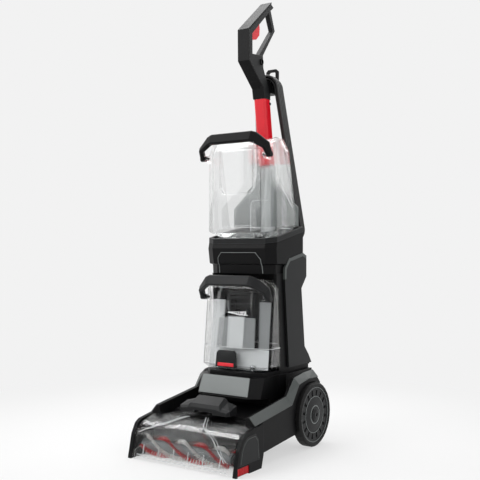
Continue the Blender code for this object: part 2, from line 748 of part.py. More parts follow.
LEDGE_Z = 0.1760          # the ledge round the plinth that the lower tank stands on
BASE_RAKE = 0.3804        # how far the front leans back for each metre up
BASE_FRONT_Y = -0.0463    # at the ledge's height
BASE_FOOT_Z = 0.1310
BASE_REAR_Y = 0.1870
BASE_HALF = 0.0900        # in front of the spine
FLARE_START_Y = 0.0375
FLARE_END_Y = 0.0600
FACE_HALF = 0.0690        # of the front face, between its chamfered corners
CORNER_Y = -0.0210
PLINTH_PLAN = [(0.0560, -0.0370), (0.0800, -0.0130), (0.0860, 0.0300), (BASE_HALF, 0.0500)]
BASE_WALL = 0.0040
PANEL_BOTTOM_Z = 0.1350
PANEL_HALF_FOOT = 0.0700
PANEL_HALF_TOP = 0.0665
PANEL_THICKNESS = 0.0025


def base_front_y(z):
    return BASE_FRONT_Y + (z - LEDGE_Z) * BASE_RAKE


def base_outline(top):
    return [
        (base_front_y(BASE_FOOT_Z), BASE_FOOT_Z), (base_front_y(top), top), (BASE_REAR_Y, top),
        (BASE_REAR_Y, 0.1700), (0.1740, 0.1300), (0.1380, 0.0530), (0.0740, 0.0530),
        (0.0015, 0.0720), (0.0015, 0.1250),
    ]


def base_corner(side, inward):
    """What is cut off one front corner, and off the side behind it as far as the flare."""
    rings = []
    for z in (0.095, 0.250):
        shift = (z - LEDGE_Z) * BASE_RAKE
        front = Vector((FACE_HALF - inward, BASE_FRONT_Y + shift + inward))
        corner = Vector((BASE_HALF - inward, CORNER_Y + shift))
        reach = front - (corner - front) * 0.8
        far = UPRIGHT_HALF + 0.03
        plan = [
            (far, reach.y), tuple(reach), tuple(corner), (BASE_HALF - inward, FLARE_START_Y),
            (UPRIGHT_HALF + GAP, FLARE_END_Y), (far, FLARE_END_Y),
        ]
        rings.append([(side * x, y, z) for x, y in plan])
    return loft(rings)


def upright_base():
    base = piece("upright_base", prism(base_outline(SEAT_Z), -UPRIGHT_HALF, UPRIGHT_HALF), BLACK)
    hollow = inset(base_outline(LEDGE_Z), BASE_WALL)
    hollow[5] = (hollow[5][0], 0.03)
    hollow[6] = (hollow[6][0], 0.03)
    inside = UPRIGHT_HALF - 1.5 * BASE_WALL
    space = guide("base_hollow", prism(hollow, -inside, inside))
    for side in (-1, 1):
        cut(base, "base_corner", base_corner(side, 0.0))
        cut(space, "hollow_corner", base_corner(side, BASE_WALL))
    boolean(base, space, "DIFFERENCE")
    far, near = 0.13, -0.10
    step = [(x, y) for x, y in PLINTH_PLAN] + [(BASE_HALF, 0.25), (far, 0.25), (far, near)]
    step = [(-x, y) for x, y in reversed(step)] + step
    cut(base, "seat_ledge", prism(step, LEDGE_Z, SEAT_Z + 0.01, along="Z"))
    axle = (0.0, AXLE_Y, WHEEL_RADIUS)
    barrel = UPRIGHT_HALF - 0.0005
    join(base, "hub_barrel", disc(HUB_RADIUS - 0.003, -barrel, barrel, 24, centre=axle))
    bore = AXLE_RADIUS + AXLE_CLEARANCE
    cut(base, "hub_bore", disc(bore, -0.12, 0.12, 16, centre=axle))
    return base


def base_front_panel():
    """The plain plate on the base's raked front, a little wider at its foot."""
    out = Vector((0.0, -1.0, BASE_RAKE)).normalized()
    rings = []
    for z, half in ((PANEL_BOTTOM_Z, PANEL_HALF_FOOT), (LEDGE_Z, PANEL_HALF_TOP)):
        foot = Vector((0.0, base_front_y(z), z))
        near, far = foot + out * GAP, foot + out * (GAP + PANEL_THICKNESS)
        rings.append([(-half, *near.yz), (half, *near.yz), (half, *far.yz), (-half, *far.yz)])
    return piece("base_front_panel", loft(rings), GREY)


def water_pump():
    """The small pump that hangs from the underside of the tank seat."""
    top = LEDGE_Z - BASE_WALL - GAP
    pump = piece("water_pump", box((-0.070, 0.040, top - 0.004), (-0.020, 0.085, top)), DARK_GREY)
    join(pump, "pump_body", disc(0.015, -0.072, -0.022, 20, centre=(0.0, 0.0625, top - 0.017)))
    join(pump, "pump_port", disc(0.004, -0.100 + BASE_WALL * 3, -0.070, 10,
                                 centre=(0.0, 0.0625, top - 0.017)))
    return pump


# ---------------------------------------------------------------- spine and covers

SPINE_FOOT_Z = SEAT_Z + GAP
SPINE_TOP_Z = POD_BOTTOM_Z - GAP
SPINE_FRONT_FOOT_Y = 0.0385
SPINE_FRONT_TOP_Y = 0.0255
SPINE_REAR = [(0.1600, 0.4090), (0.1350, 0.3800), (0.1510, 0.2340), (0.1720, 0.2110)]
SPINE_WALL = 0.0040


def spine_front_y(z):
    share = (z - SPINE_FOOT_Z) / (SPINE_TOP_Z - SPINE_FOOT_Z)
    return SPINE_FRONT_FOOT_Y + (SPINE_FRONT_TOP_Y - SPINE_FRONT_FOOT_Y) * share


def spine():
    """The U-shaped frame whose side walls hold the lower tank between them."""
    outline = [
        (SPINE_FRONT_FOOT_Y, SPINE_FOOT_Z), (SPINE_FRONT_TOP_Y, SPINE_TOP_Z),
        (SPINE_REAR[0][0], SPINE_TOP_Z), *SPINE_REAR, (BASE_REAR_Y, SPINE_FOOT_Z),
    ]
    frame = piece("spine", prism(outline, -SPINE_HALF, SPINE_HALF), BLACK)
    bay = box((-TANK_BAY_HALF, -0.05, 0.10), (TANK_BAY_HALF, TANK_BAY_REAR_Y, 0.50))
    cut(frame, "tank_bay", bay)
    duct_front = TANK_BAY_REAR_Y + SPINE_WALL
    duct = [(duct_front, 0.17), (duct_front, 0.44), (SPINE_REAR[0][0] - SPINE_WALL, 0.44)]
    duct += [(y - SPINE_WALL, z + SPINE_WALL / 3) for y, z in SPINE_REAR]
    duct.append((BASE_REAR_Y - SPINE_WALL, 0.17))
    duct_half = SPINE_HALF - SPINE_WALL
    cut(frame, "spine_duct", prism(duct, -duct_half, duct_half))
    return frame


COVER_FOOT_Z = 0.1905
COVER_EDGE = [
    (0.0550, 0.4050), (0.0555, 0.4310), (0.0745, 0.4540), (0.1425, 0.4680), (0.1600, 0.4610),
]
TRIM_EDGE = [
    (0.0615, 0.4050), (0.0625, 0.4285), (0.0785, 0.4468), (0.1425, 0.4597), (0.1600, 0.4525),
]


def spine_cover(side):
    reach = sorted((side * (SPINE_HALF + GAP), side * UPRIGHT_HALF))
    inner = [(y, z - GAP * 2) for y, z in TRIM_EDGE]
    outline = [
        (0.0745, COVER_FOOT_Z), (0.0552, 0.4040), (0.0618, 0.4040), *inner[1:],
        *SPINE_REAR, (BASE_REAR_Y - 0.001, COVER_FOOT_Z),
    ]
    name = "spine_cover_right" if side > 0 else "spine_cover_left"
    return piece(name, prism(outline, *reach), DARK_GREY)


def cover_trim(side):
    reach = sorted((side * (SPINE_HALF + GAP), side * UPRIGHT_HALF))
    name = "cover_trim_right" if side > 0 else "cover_trim_left"
    return piece(name, prism(COVER_EDGE + TRIM_EDGE[::-1], *reach), GREY)


# ---------------------------------------------------------------- pod

POD_SKIRT_HALF = 0.0920
VENT_HALF = 0.0600
VENT_BOTTOM_Z = 0.4300
VENT_TOP_Z = 0.4780
VENT_SLOTS = 6
SWITCH_X = 0.0780
SWITCH_Z = 0.4560
SWITCH_HALF = 0.0065
SWITCH_HEIGHT = 0.0190
FAN_Y = 0.0760
MOTOR_CASE_RADIUS = 0.0400
FAN_RADIUS = 0.0450
FAN_BLADES = 8
CAP_X = 0.0300
CAP_Y = 0.0520
CAP_RADIUS = 0.0180
MOUTH_RADIUS = 0.0140


def pod_outline(half, front, rear, corner=0.016):
    right = [
        (0.0, front), (half - 1.5 * corner, front), (half, front + corner),
        (half, rear - corner / 2), (half - corner / 2, rear), (0.0, rear),
    ]
    return mirrored(right)


def pod_top(y):
    """Height of the pod's raked top edge."""
    return POD_TOP_Z + POD_RAKE * (y - POD_FRONT_Y)


def tray_floor(y):
    return pod_top(y) + RIM_HEIGHT - TRAY_DEPTH


def pod_shell():
    levels = [
        (POD_BOTTOM_Z, POD_SKIRT_HALF, POD_FRONT_Y + 0.0085),
        (0.4390, POD_SKIRT_HALF, POD_FRONT_Y + 0.0070),
        (0.4420, UPRIGHT_HALF - 0.0010, POD_FRONT_Y + 0.0030),
        (0.4790, UPRIGHT_HALF, POD_FRONT_Y - 0.0015),
    ]
    rings = [
        [(x, y, z) for x, y in pod_outline(half, front, POD_REAR_Y)]
        for z, half, front in levels
    ]
    top = pod_outline(UPRIGHT_HALF, POD_FRONT_Y + 0.0020, POD_REAR_Y)
    rings.append([(x, y, pod_top(y)) for x, y in top])
    shell = piece("pod_shell", loft(rings), BLACK)
    inside = pod_outline(POD_SKIRT_HALF - POD_WALL, POD_FRONT_Y + 0.0085 + POD_WALL,
                         POD_REAR_Y - POD_WALL)
    for side in (-1, 1):
        reach = sorted((side * (SPINE_HALF - GAP), side * 0.11))
        outline = [*COVER_EDGE, (COVER_EDGE[-1][0], COVER_EDGE[0][1])]
        cut(shell, "cover_recess", prism(inset(outline, -GAP), *reach))
    cut(shell, "pod_cavity", prism(inside, POD_BOTTOM_Z + POD_WALL, 0.60, along="Z"))
    cut(shell, "air_duct", box((-0.030, 0.120, 0.40), (0.030, 0.140, 0.43)))
    cut(shell, "vent_window", box(
        (-VENT_HALF, POD_REAR_Y - 0.01, VENT_BOTTOM_Z), (VENT_HALF, 0.20, VENT_TOP_Z)))
    half, height = SWITCH_HALF + RUN, SWITCH_HEIGHT / 2 + 2 * RUN
    cut(shell, "switch_well", box(
        (SWITCH_X - half, POD_REAR_Y - 0.01, SWITCH_Z - height),
        (SWITCH_X + half, 0.20, SWITCH_Z + height)))
    pin = SWITCH_PIN + GAP
    reach = SWITCH_HALF + 3 * RUN
    cut(shell, "switch_bore", disc(pin, SWITCH_X - reach, SWITCH_X + reach, 10,
                                   centre=(0.0, POD_REAR_Y - POD_WALL / 2, SWITCH_Z)))
    return shell


SWITCH_PIN = 0.0010


def power_switch():
    """A rocker that rests with its upper end out."""
    y = POD_REAR_Y - POD_WALL / 2
    high = SWITCH_HEIGHT / 2
    outline = [
        (y - 0.0030, SWITCH_Z - high * 0.8), (y + 0.0016, SWITCH_Z - high),
        (y + 0.0026, SWITCH_Z), (y + 0.0046, SWITCH_Z + high), (y - 0.0030, SWITCH_Z + high * 0.8),
    ]
    low, far = SWITCH_X - SWITCH_HALF, SWITCH_X + SWITCH_HALF
    rocker = piece("power_switch", prism(outline, low, far), DARK_GREY)
    reach = SWITCH_HALF + 2 * RUN
    join(rocker, "rocker_pins", disc(SWITCH_PIN, SWITCH_X - reach, SWITCH_X + reach, 10,
                                     centre=(0.0, y, SWITCH_Z)))
    return rocker


def pod_rim():
    """The grey rim with the tray that the upper tank stands in."""
    outer = pod_outline(UPRIGHT_HALF, POD_FRONT_Y + 0.0020, POD_REAR_Y)
    inner = pod_outline(UPRIGHT_HALF - RIM_WIDTH, POD_FRONT_Y + 0.0020 + RIM_WIDTH,
                        POD_REAR_Y - RIM_WIDTH, 0.012)
    rings = [
        [(x, y, pod_top(y) + GAP) for x, y in outer],
        [(x, y, pod_top(y) + RIM_HEIGHT) for x, y in outer],
        [(x, y, pod_top(y) + RIM_HEIGHT) for x, y in inner],
        [(x, y, pod_top(y) + RIM_HEIGHT - TRAY_DEPTH) for x, y in inner],
    ]
    rim = piece("pod_rim", loft(rings), DARK_GREY)
    notch = NECK_HALF + 2 * GAP
    front = NECK_FRONT_Y - 2 * GAP
    outline = [(front, tray_floor(front)), (0.2, tray_floor(0.2)), (0.2, 0.6), (front, 0.6)]
    cut(rim, "neck_notch", prism(outline, -notch, notch))
    cut(rim, "cap_well", disc(CAP_RADIUS + 2 * RUN, 0.45, 0.60, 24, along="Z",
                              centre=(CAP_X, CAP_Y, 0.0)))
    return rim


def pod_front_panel():
    """The plain inset plate on the pod's front, wider at its foot."""
    low, high = 0.4440, 0.4700
    lean = (0.0030 + 0.0015) / (0.4790 - 0.4420)
    front = lambda z: POD_FRONT_Y + 0.0030 - lean * (z - 0.4420) - GAP
    thick = 0.0012
    rings = []
    for z, half in ((low, 0.0600), (high - 0.008, 0.0590), (high, 0.0480)):
        y = front(z)
        rings.append([(-half, y, z), (half, y, z), (half, y - thick, z), (-half, y - thick, z)])
    return piece("pod_front_panel", loft(rings), BLACK)


def pod_back_cover():
    """The louvred air outlet in the pod's rear wall."""
    edge = GAP
    plate = piece("pod_back_cover", box(
        (-VENT_HALF + edge, POD_REAR_Y - POD_WALL, VENT_BOTTOM_Z + edge),
        (VENT_HALF - edge, POD_REAR_Y, VENT_TOP_Z - edge)), DARK_GREY)
    pitch = (VENT_TOP_Z - VENT_BOTTOM_Z - 0.008) / VENT_SLOTS
    for i in range(VENT_SLOTS):
        z = VENT_BOTTOM_Z + 0.004 + pitch * (i + 0.5)
        cut(plate, f"louvre_{i}", box((-VENT_HALF + 0.008, 0.10, z - pitch * 0.28),
                                      (VENT_HALF - 0.008, 0.20, z + pitch * 0.28)))
    return plate


def suction_motor():
    foot = POD_BOTTOM_Z + POD_WALL + GAP
    profile = [(foot, MOTOR_CASE_RADIUS), (foot + 0.040, MOTOR_CASE_RADIUS),
               (foot + 0.046, 0.030), (foot + 0.046, 0.012)]
    motor = piece("suction_motor", turned(profile, 28, along="Z"), STEEL, smooth=30)
    motor.location = (0.0, FAN_Y, 0.0)
    cut(motor, "motor_bore", disc(SHAFT_RADIUS + AXLE_CLEARANCE, foot + 0.010, 0.60, 12, along="Z",
                                  centre=(0.0, FAN_Y, 0.0)))
    return motor


def suction_fan():
    """The impeller: a back plate with curved blades, on the motor's shaft."""
    foot = POD_BOTTOM_Z + POD_WALL + GAP + 0.046 + RUN
    plate = 0.0020
    profile = [(foot, FAN_RADIUS), (foot + plate, FAN_RADIUS), (foot + plate, 0.009),
               (foot + 0.012, 0.007)]
    fan = piece("suction_fan", turned(profile, 28, along="Z"), LIGHT_GREY, smooth=30)
    fan.location = (0.0, FAN_Y, 0.0)
    blades = bmesh.new()
    for i in range(FAN_BLADES):
        start = 2 * math.pi * i / FAN_BLADES
        line = [(0.0115 + 0.0100 * k, start + 0.27 * k) for k in range(4)]
        near = [(r * math.cos(t), FAN_Y + r * math.sin(t)) for r, t in line]
        far = [((r + 0.0002) * math.cos(t + 0.06), FAN_Y + (r + 0.0002) * math.sin(t + 0.06))
               for r, t in reversed(line)]
        blade = prism(near + far, foot + plate / 2, foot + 0.010, along="Z")
        bmesh.ops.recalc_face_normals(blade, faces=blade.faces)
        mesh = bpy.data.meshes.new("blade")
        blade.to_mesh(mesh)
        blades.from_mesh(mesh)
        blade.free()
    join(fan, "fan_blades", blades)
    join(fan, "fan_shaft", disc(SHAFT_RADIUS, foot - 0.020, foot + plate / 2, 12, along="Z",
                                centre=(0.0, FAN_Y, 0.0)))
    return fan


# ---------------------------------------------------------------- neck, stem and handle

def neck():
    corner = 0.003
    plan = mirrored([
        (0.0, NECK_FRONT_Y), (NECK_HALF - corner, NECK_FRONT_Y), (NECK_HALF, NECK_FRONT_Y + corner),
        (NECK_HALF, POD_REAR_Y - corner), (NECK_HALF - corner, POD_REAR_Y), (0.0, POD_REAR_Y),
    ])
    rings = [
        [(x, y, tray_floor(y) + GAP) for x, y in plan],
        [(x, y, NECK_TOP_Z) for x, y in plan],
    ]
    return piece("neck", loft(rings), LIGHT_GREY)


def stem_centre(z):
    return STEM_TOP_Y + (STEM_TOP_Z - z) * STEM_LEAN


def stem():
    corner = 0.005
    rings = []
    for z in (NECK_TOP_Z + GAP, STEM_TOP_Z):
        front, rear = stem_centre(z) - STEM_DEPTH / 2, stem_centre(z) + STEM_DEPTH / 2
        half = [(0.0, front), (STEM_HALF - corner, front), (STEM_HALF, front + corner),
                (STEM_HALF, rear - corner), (STEM_HALF - corner, rear), (0.0, rear)]
        rings.append([(x, y, z) for x, y in mirrored(half)])
    made = piece("stem", loft(rings), RED)
    wall = 0.0030
    rings = []
    for z in (NECK_TOP_Z - 0.01, STEM_TOP_Z + 0.01):
        front = stem_centre(z) - STEM_DEPTH / 2 + wall
        rear = stem_centre(z) + STEM_DEPTH / 2 - wall
        reach = STEM_HALF - wall
        rings.append([(-reach, front, z), (reach, front, z), (reach, rear, z), (-reach, rear, z)])
    cut(made, "stem_bore", loft(rings))
    return made


HANDLE_FOOT_Z = STEM_TOP_Z + GAP
HANDLE_FRONT = [
    (0.0925, HANDLE_FOOT_Z), (0.0880, 0.8800), (0.0245, 0.9380), (0.0235, 1.0150), (0.1290, 1.1050),
]
HANDLE_REAR = [
    (0.1385, 1.0930), (0.1180, 1.0770), (0.0400, 1.0060), (0.0405, 0.9560),
    (0.0880, 0.9600), (0.0900, 0.9300), (0.1120, 0.8870), (0.1235, HANDLE_FOOT_Z),
]
LIMB_OUTLINE = [
    (0.1300, 1.0985), (0.1375, 1.0945), (0.1600, 1.0395), (0.0900, 0.9480),
    (0.0800, 0.9560), (0.1505, 1.0385), (0.1270, 1.0880),
]
TRIGGER_PIVOT = (0.0, 0.0770, 1.0460)
TRIGGER_HALF = 0.0080
TRIGGER_PIN = 0.0016
TRIGGER_OUTLINE = [
    (0.0715, 1.0470), (0.0815, 1.0500), (0.0860, 1.0300), (0.0845, 1.0120), (0.0700, 0.9980),
    (0.0455, 0.9935), (0.0400, 1.0020),
]
TRIGGER_POCKET = [
    (0.0660, 1.0500), (0.0760, 1.0540), (0.0900, 1.0560), (0.1000, 1.0300), (0.0700, 0.9700),
    (0.0390, 0.9850), (0.0335, 0.9960), (0.0345, 1.0090),
]


def handle_frame():
    """The grey loop of the handle: leg, grip and the slim limb that closes it behind."""
    inner = inset(HANDLE_FRONT + HANDLE_REAR, BAND_THICKNESS + GAP)[:len(HANDLE_FRONT)]
    inner[0] = (inner[0][0], HANDLE_FOOT_Z)
    frame = piece("handle_frame", prism(inner + HANDLE_REAR, -HANDLE_HALF, HANDLE_HALF), DARK_GREY)
    join(frame, "rear_limb", prism(LIMB_OUTLINE, -LIMB_HALF, LIMB_HALF))
    half = TRIGGER_HALF + RUN
    cut(frame, "trigger_pocket", prism(TRIGGER_POCKET, -half, half))
    reach = TRIGGER_HALF + 4 * RUN
    cut(frame, "trigger_bore", disc(TRIGGER_PIN + GAP, -reach, reach, 12, centre=TRIGGER_PIVOT))
    return frame


def grip_band():
    """The dark band that wraps the front of the leg and grip."""
    inner = inset(HANDLE_FRONT + HANDLE_REAR, BAND_THICKNESS)[:len(HANDLE_FRONT)]
    inner[0] = (inner[0][0], HANDLE_FOOT_Z)
    outline = HANDLE_FRONT + inner[::-1]
    band = piece("grip_band", prism(outline, -HANDLE_HALF, HANDLE_HALF), BLACK)
    return band


def trigger():
    made = piece("trigger", prism(TRIGGER_OUTLINE, -TRIGGER_HALF, TRIGGER_HALF), RED)
    reach = TRIGGER_HALF + 3 * RUN
    join(made, "trigger_pin", disc(TRIGGER_PIN, -reach, reach, 12, centre=TRIGGER_PIVOT))
    return made


# ---------------------------------------------------------------- tanks

PIVOT_PIN = 0.0030
EAR_INNER_X = 0.0780
EAR_OUTER_X = 0.0885
BAIL_END_X = 0.1020
BAR_HALF = 0.0560         # straight part of a bail's bar
ARM_X = 0.0965


def tank_plan(front, half, side_rear, rear_half, rear):
    """Right half of a tank's plan: bowed front, sides, and the narrower part behind them."""
    bow = min(1.0, (side_rear - front - 0.002) / 0.021)
    right = [
        (0.0, front), (half * 0.52, front), (half * 0.86, front + 0.008 * bow),
        (half, front + 0.021 * bow), (half, side_rear), (rear_half, side_rear + 0.0010),
        (rear_half, rear), (0.0, rear),
    ]
    return mirrored(right)


DIRTY_FOOT_Z = SEAT_Z + GAP
DIRTY_TOP_Z = 0.3750
DIRTY_FRONT_FOOT_Y = -0.0280
DIRTY_FRONT_TOP_Y = -0.0085
DIRTY_HALF = 0.0990
DIRTY_REAR_HALF = TANK_BAY_HALF - 0.0014
DIRTY_REAR_Y = TANK_BAY_REAR_Y - 0.0014
DIRTY_PIVOT_Y = -0.0090
DIRTY_PIVOT_Z = 0.3600
CHAMFER = 0.0100


def dirty_front(z):
    share = (z - DIRTY_FOOT_Z) / (DIRTY_TOP_Z - DIRTY_FOOT_Z)
    return DIRTY_FRONT_FOOT_Y + (DIRTY_FRONT_TOP_Y - DIRTY_FRONT_FOOT_Y) * share


def dirty_ring(z, shrink=0.0, level=None):
    plan = tank_plan(
        dirty_front(z) + shrink, DIRTY_HALF - shrink, spine_front_y(z) - 0.0014 - shrink,
        DIRTY_REAR_HALF - shrink, DIRTY_REAR_Y - shrink,
    )
    return [(x, y, z if level is None else level) for x, y in plan]


def ear(side, pivot_y, pivot_z, root_y):
    """A lug on a tank's front corner that takes the pin of its bail."""
    r = 0.0070
    outline = [
        (root_y, pivot_z - r - 0.004), (root_y, pivot_z + r + 0.001), (pivot_y, pivot_z + r),
        (pivot_y - r * 0.7, pivot_z + r * 0.7), (pivot_y - r, pivot_z),
        (pivot_y - r * 0.7, pivot_z - r * 0.7), (pivot_y, pivot_z - r),
    ]
    return prism(outline, *sorted((side * EAR_INNER_X, side * EAR_OUTER_X)))


def add_ears(tank, pivot_y, pivot_z, root_y):
    for side in (-1, 1):
        join(tank, "ear", ear(side, pivot_y, pivot_z, root_y))
        reach = sorted((side * (EAR_INNER_X - 0.001), side * (EAR_OUTER_X + 0.01)))
        cut(tank, "ear_bore", disc(PIVOT_PIN + AXLE_CLEARANCE, *reach, 12,
                                   centre=(0.0, pivot_y, pivot_z)))


def dirty_tank():
    """The clear recovery tank, open at the top."""
    rings = [
        dirty_ring(DIRTY_FOOT_Z, CHAMFER), dirty_ring(DIRTY_FOOT_Z + CHAMFER),
        dirty_ring(DIRTY_TOP_Z),
    ]
    tank = piece("dirty_tank", loft(rings), SMOKED)
    floor = DIRTY_FOOT_Z + CLEAR_WALL
    rings = [
        dirty_ring(DIRTY_FOOT_Z, CHAMFER + CLEAR_WALL, floor),
        dirty_ring(DIRTY_FOOT_Z + CHAMFER, CLEAR_WALL, floor + CHAMFER),
        dirty_ring(DIRTY_TOP_Z, CLEAR_WALL, DIRTY_TOP_Z + 0.01),
    ]
    add_ears(tank, DIRTY_PIVOT_Y, DIRTY_PIVOT_Z, dirty_front(DIRTY_PIVOT_Z) + 0.014)
    cut(tank, "dirty_hollow", loft(rings))
    return tank


LID_TOP_Z = 0.4040


def dirty_lid():
    """The lid: a skirted cover that sits on the tank's edge and rises towards the rear."""
    low = DIRTY_TOP_Z + GAP
    rings = [
        dirty_ring(DIRTY_TOP_Z, 0.0, low), dirty_ring(DIRTY_TOP_Z, 0.0, low + 0.008),
        dirty_ring(DIRTY_TOP_Z, 0.010, LID_TOP_Z - 0.004), dirty_ring(DIRTY_TOP_Z, 0.016, LID_TOP_Z),
    ]
    lid = piece("dirty_lid", loft(rings), SMOKED)
    rings = [
        dirty_ring(DIRTY_TOP_Z, 0.004, low - 0.01), dirty_ring(DIRTY_TOP_Z, 0.004, low + 0.006),
        dirty_ring(DIRTY_TOP_Z, 0.014, LID_TOP_Z - 0.0075),
    ]
    cut(lid, "lid_hollow", loft(rings))
    return lid


def float_stack():
    """The dark inlet box with its float cage, under the lid at the tank's front."""
    top = DIRTY_TOP_Z - 0.002
    front = dirty_front(top) + CLEAR_WALL + 0.006
    outline = [(-0.046, top), (-0.046, 0.312), (-0.040, 0.303), (0.040, 0.303), (0.046, 0.312),
               (0.046, top)]
    stack = piece("float_stack", prism(outline, front, front + 0.034, along="Y"), DARK_GREY)
    window = [(-0.036, top - 0.006), (-0.036, 0.322), (-0.032, 0.316), (0.032, 0.316),
              (0.036, 0.322), (0.036, top - 0.006)]
    cut(stack, "float_window", prism(window, front - 0.01, front + 0.030, along="Y"))
    join(stack, "float_bar", box((-0.037, front + 0.004, 0.3395), (0.037, front + 0.012, 0.3455)))
    join(stack, "inlet_tube", prism(
        [(-0.020, 0.045), (0.020, 0.045), (0.020, 0.075), (-0.020, 0.075)],
        0.330, top, along="Z"))
    join(stack, "stack_bridge", box((-0.018, front + 0.030, 0.352), (0.018, 0.050, top)))
    join(stack, "stack_hanger", box((-0.012, front + 0.012, top - 0.001),
                                    (0.012, front + 0.028, LID_TOP_Z - 0.0075 - GAP)))
    return stack


def bail(name, pivot_y, pivot_z, front_y, front_z, finish):
    """A tank's carrying handle: a deep bar with swept-back arms, and a pin in each ear."""
    half = [
        Vector((BAR_HALF, front_y, front_z)), Vector((BAR_HALF + 0.010, front_y + 0.003, front_z - 0.003)),
        Vector((ARM_X - 0.003, pivot_y - 0.012, pivot_z + 0.020)),
        Vector((ARM_X, pivot_y - 0.001, pivot_z - 0.001)),
    ]
    path = [Vector((-point.x, point.y, point.z)) for point in reversed(half)] + half
    heights = (0.016, 0.022, 0.026, 0.026)
    heights = heights + heights[::-1]
    thick = 0.0120
    bulge = 0.0030
    rings = []
    for i, here in enumerate(path):
        before = (here - path[i - 1]).normalized() if i else (path[1] - here).normalized()
        after = (path[i + 1] - here).normalized() if i < len(path) - 1 else before
        along = (before + after).normalized()
        across = along.cross(Vector((0.0, 0.35, 1.0))).normalized()
        rise = across.cross(along).normalized()
        h, t = heights[i] / 2, thick / 2
        section = [(-t, -h + bulge), (-t + bulge, -h), (t - bulge, -h), (t, -h + bulge),
                   (t, h - bulge), (t - bulge, h), (-t + bulge, h), (-t, h - bulge)]
        if i in (0, len(path) - 1):
            section = [(a * 0.85, b) for a, b in section]
        rings.append([here + across * a + rise * b for a, b in section])
    made = piece(name, loft(rings), finish)
    for side in (-1, 1):
        lug = sorted((side * (EAR_OUTER_X + GAP + 0.0004), side * BAIL_END_X))
        join(made, "bail_lug", disc(0.0068, *lug, 14, centre=(0.0, pivot_y, pivot_z)))
        pin = sorted((side * (EAR_INNER_X + 0.001), side * (EAR_OUTER_X + 0.004)))
        join(made, "bail_pin", disc(PIVOT_PIN, *pin, 12, centre=(0.0, pivot_y, pivot_z)))
    return made


CLEAN_TOP_Z = 0.7450
CLEAN_FRONT_Y = -0.0115
CLEAN_REAR_FOOT_Y = 0.1190
CLEAN_REAR_TOP_Y = 0.0830
CLEAN_PIVOT_Y = -0.0090
CLEAN_PIVOT_Z = 0.7000
CLEAN_FOOT_HALF = UPRIGHT_HALF - RIM_WIDTH - 0.0022
CLEAN_FOOT_FRONT = POD_FRONT_Y + 0.0020 + RIM_WIDTH + 0.0030
POCKET_HALF = 0.0470
POCKET_DEPTH = 0.0110
POCKET_BOTTOM_Z = 0.6120
POCKET_TOP_Z = 0.7150


def clean_plan(front, half, rear):
    right = [
        (0.0, front), (half * 0.70, front + 0.003), (half, front + 0.030), (half, rear - 0.010),
        (half - 0.012, rear), (0.0, rear),
    ]
    return mirrored(right)


def clean_rings(shrink):
    """The tank's sections from foot to crown, moved inwards by shrink."""
    rear, top_rear = CLEAN_REAR_FOOT_Y - shrink, CLEAN_REAR_TOP_Y - shrink
    foot = clean_plan(CLEAN_FOOT_FRONT + shrink, CLEAN_FOOT_HALF - shrink, rear)
    rings = [
        [(x, y, tray_floor(y) + GAP + shrink) for x, y in foot],
        [(x, y, tray_floor(y) + 0.0105) for x, y in foot],
    ]
    full = clean_plan(CLEAN_FRONT_Y + shrink, UPRIGHT_HALF - shrink, rear)
    rings.append([(x, y, tray_floor(y) + 0.0250) for x, y in full])
    high = clean_plan(CLEAN_FRONT_Y + shrink, UPRIGHT_HALF - 0.001 - shrink, top_rear + 0.003)
    rings.append([(x, y, 0.7140 + 0.0002 * shrink) for x, y in high])
    crown = clean_plan(CLEAN_FRONT_Y + 0.010 + shrink, UPRIGHT_HALF - 0.009 - shrink, top_rear - 0.010)
    top = []
    for x, y in crown:
        dip = 0.016 * min(1.0, max(0.0, 0.012 - y) / 0.014)
        top.append((x, y, CLEAN_TOP_Z - 0.06 * max(0.0, y - 0.02) - dip - shrink))
    rings.append(top)
    return rings


def pocket(grow):
    """The finger pocket in the tank's front, behind the bail."""
    half = POCKET_HALF + grow
    rear = CLEAN_FRONT_Y + POCKET_DEPTH + grow
    top, low, corner = POCKET_TOP_Z + grow, POCKET_BOTTOM_Z - grow, 0.014
    outline = [
        (-half, top), (-half, POCKET_BOTTOM_Z + corner), (corner - half, low),
        (half - corner, low), (half, POCKET_BOTTOM_Z + corner), (half, top),
    ]
    return prism(outline, -0.10, rear, along="Y")


CAP_TOP_Z = tray_floor(CAP_Y - CAP_RADIUS) - 0.0010


def clean_tank():
    tank = piece("clean_tank", loft(clean_rings(0.0)), SMOKED)
    add_ears(tank, CLEAN_PIVOT_Y, CLEAN_PIVOT_Z, CLEAN_FRONT_Y + 0.020)
    cut(tank, "finger_pocket", pocket(0.0))
    mouth = (CAP_X, CAP_Y, 0.0)
    rim = tray_floor(CAP_Y + CAP_RADIUS) + 0.001
    join(tank, "mouth_neck", disc(CAP_RADIUS, CAP_TOP_Z + GAP, rim, 20, along="Z", centre=mouth))
    hollow = guide("clean_hollow", loft(clean_rings(CLEAR_WALL)))
    cut(hollow, "pocket_wall", pocket(CLEAR_WALL))
    boolean(tank, hollow, "DIFFERENCE")
    cut(tank, "tank_mouth", disc(MOUTH_RADIUS, 0.48, 0.53, 20, along="Z", centre=mouth))
    return tank


def clean_cap():
    """The cap with the valve in it, under the tank's mouth."""
    top = CAP_TOP_Z
    profile = [(top - 0.0100, CAP_RADIUS - 0.002), (top - 0.0085, CAP_RADIUS), (top, CAP_RADIUS),
               (top, MOUTH_RADIUS - RUN), (top + 0.0115, MOUTH_RADIUS - RUN)]
    cap = piece("clean_cap", turned(profile, 20, along="Z"), BLACK, smooth=30)
    cap.location = (CAP_X, CAP_Y, 0.0)
    return cap


# ---------------------------------------------------------------- cord and its hooks

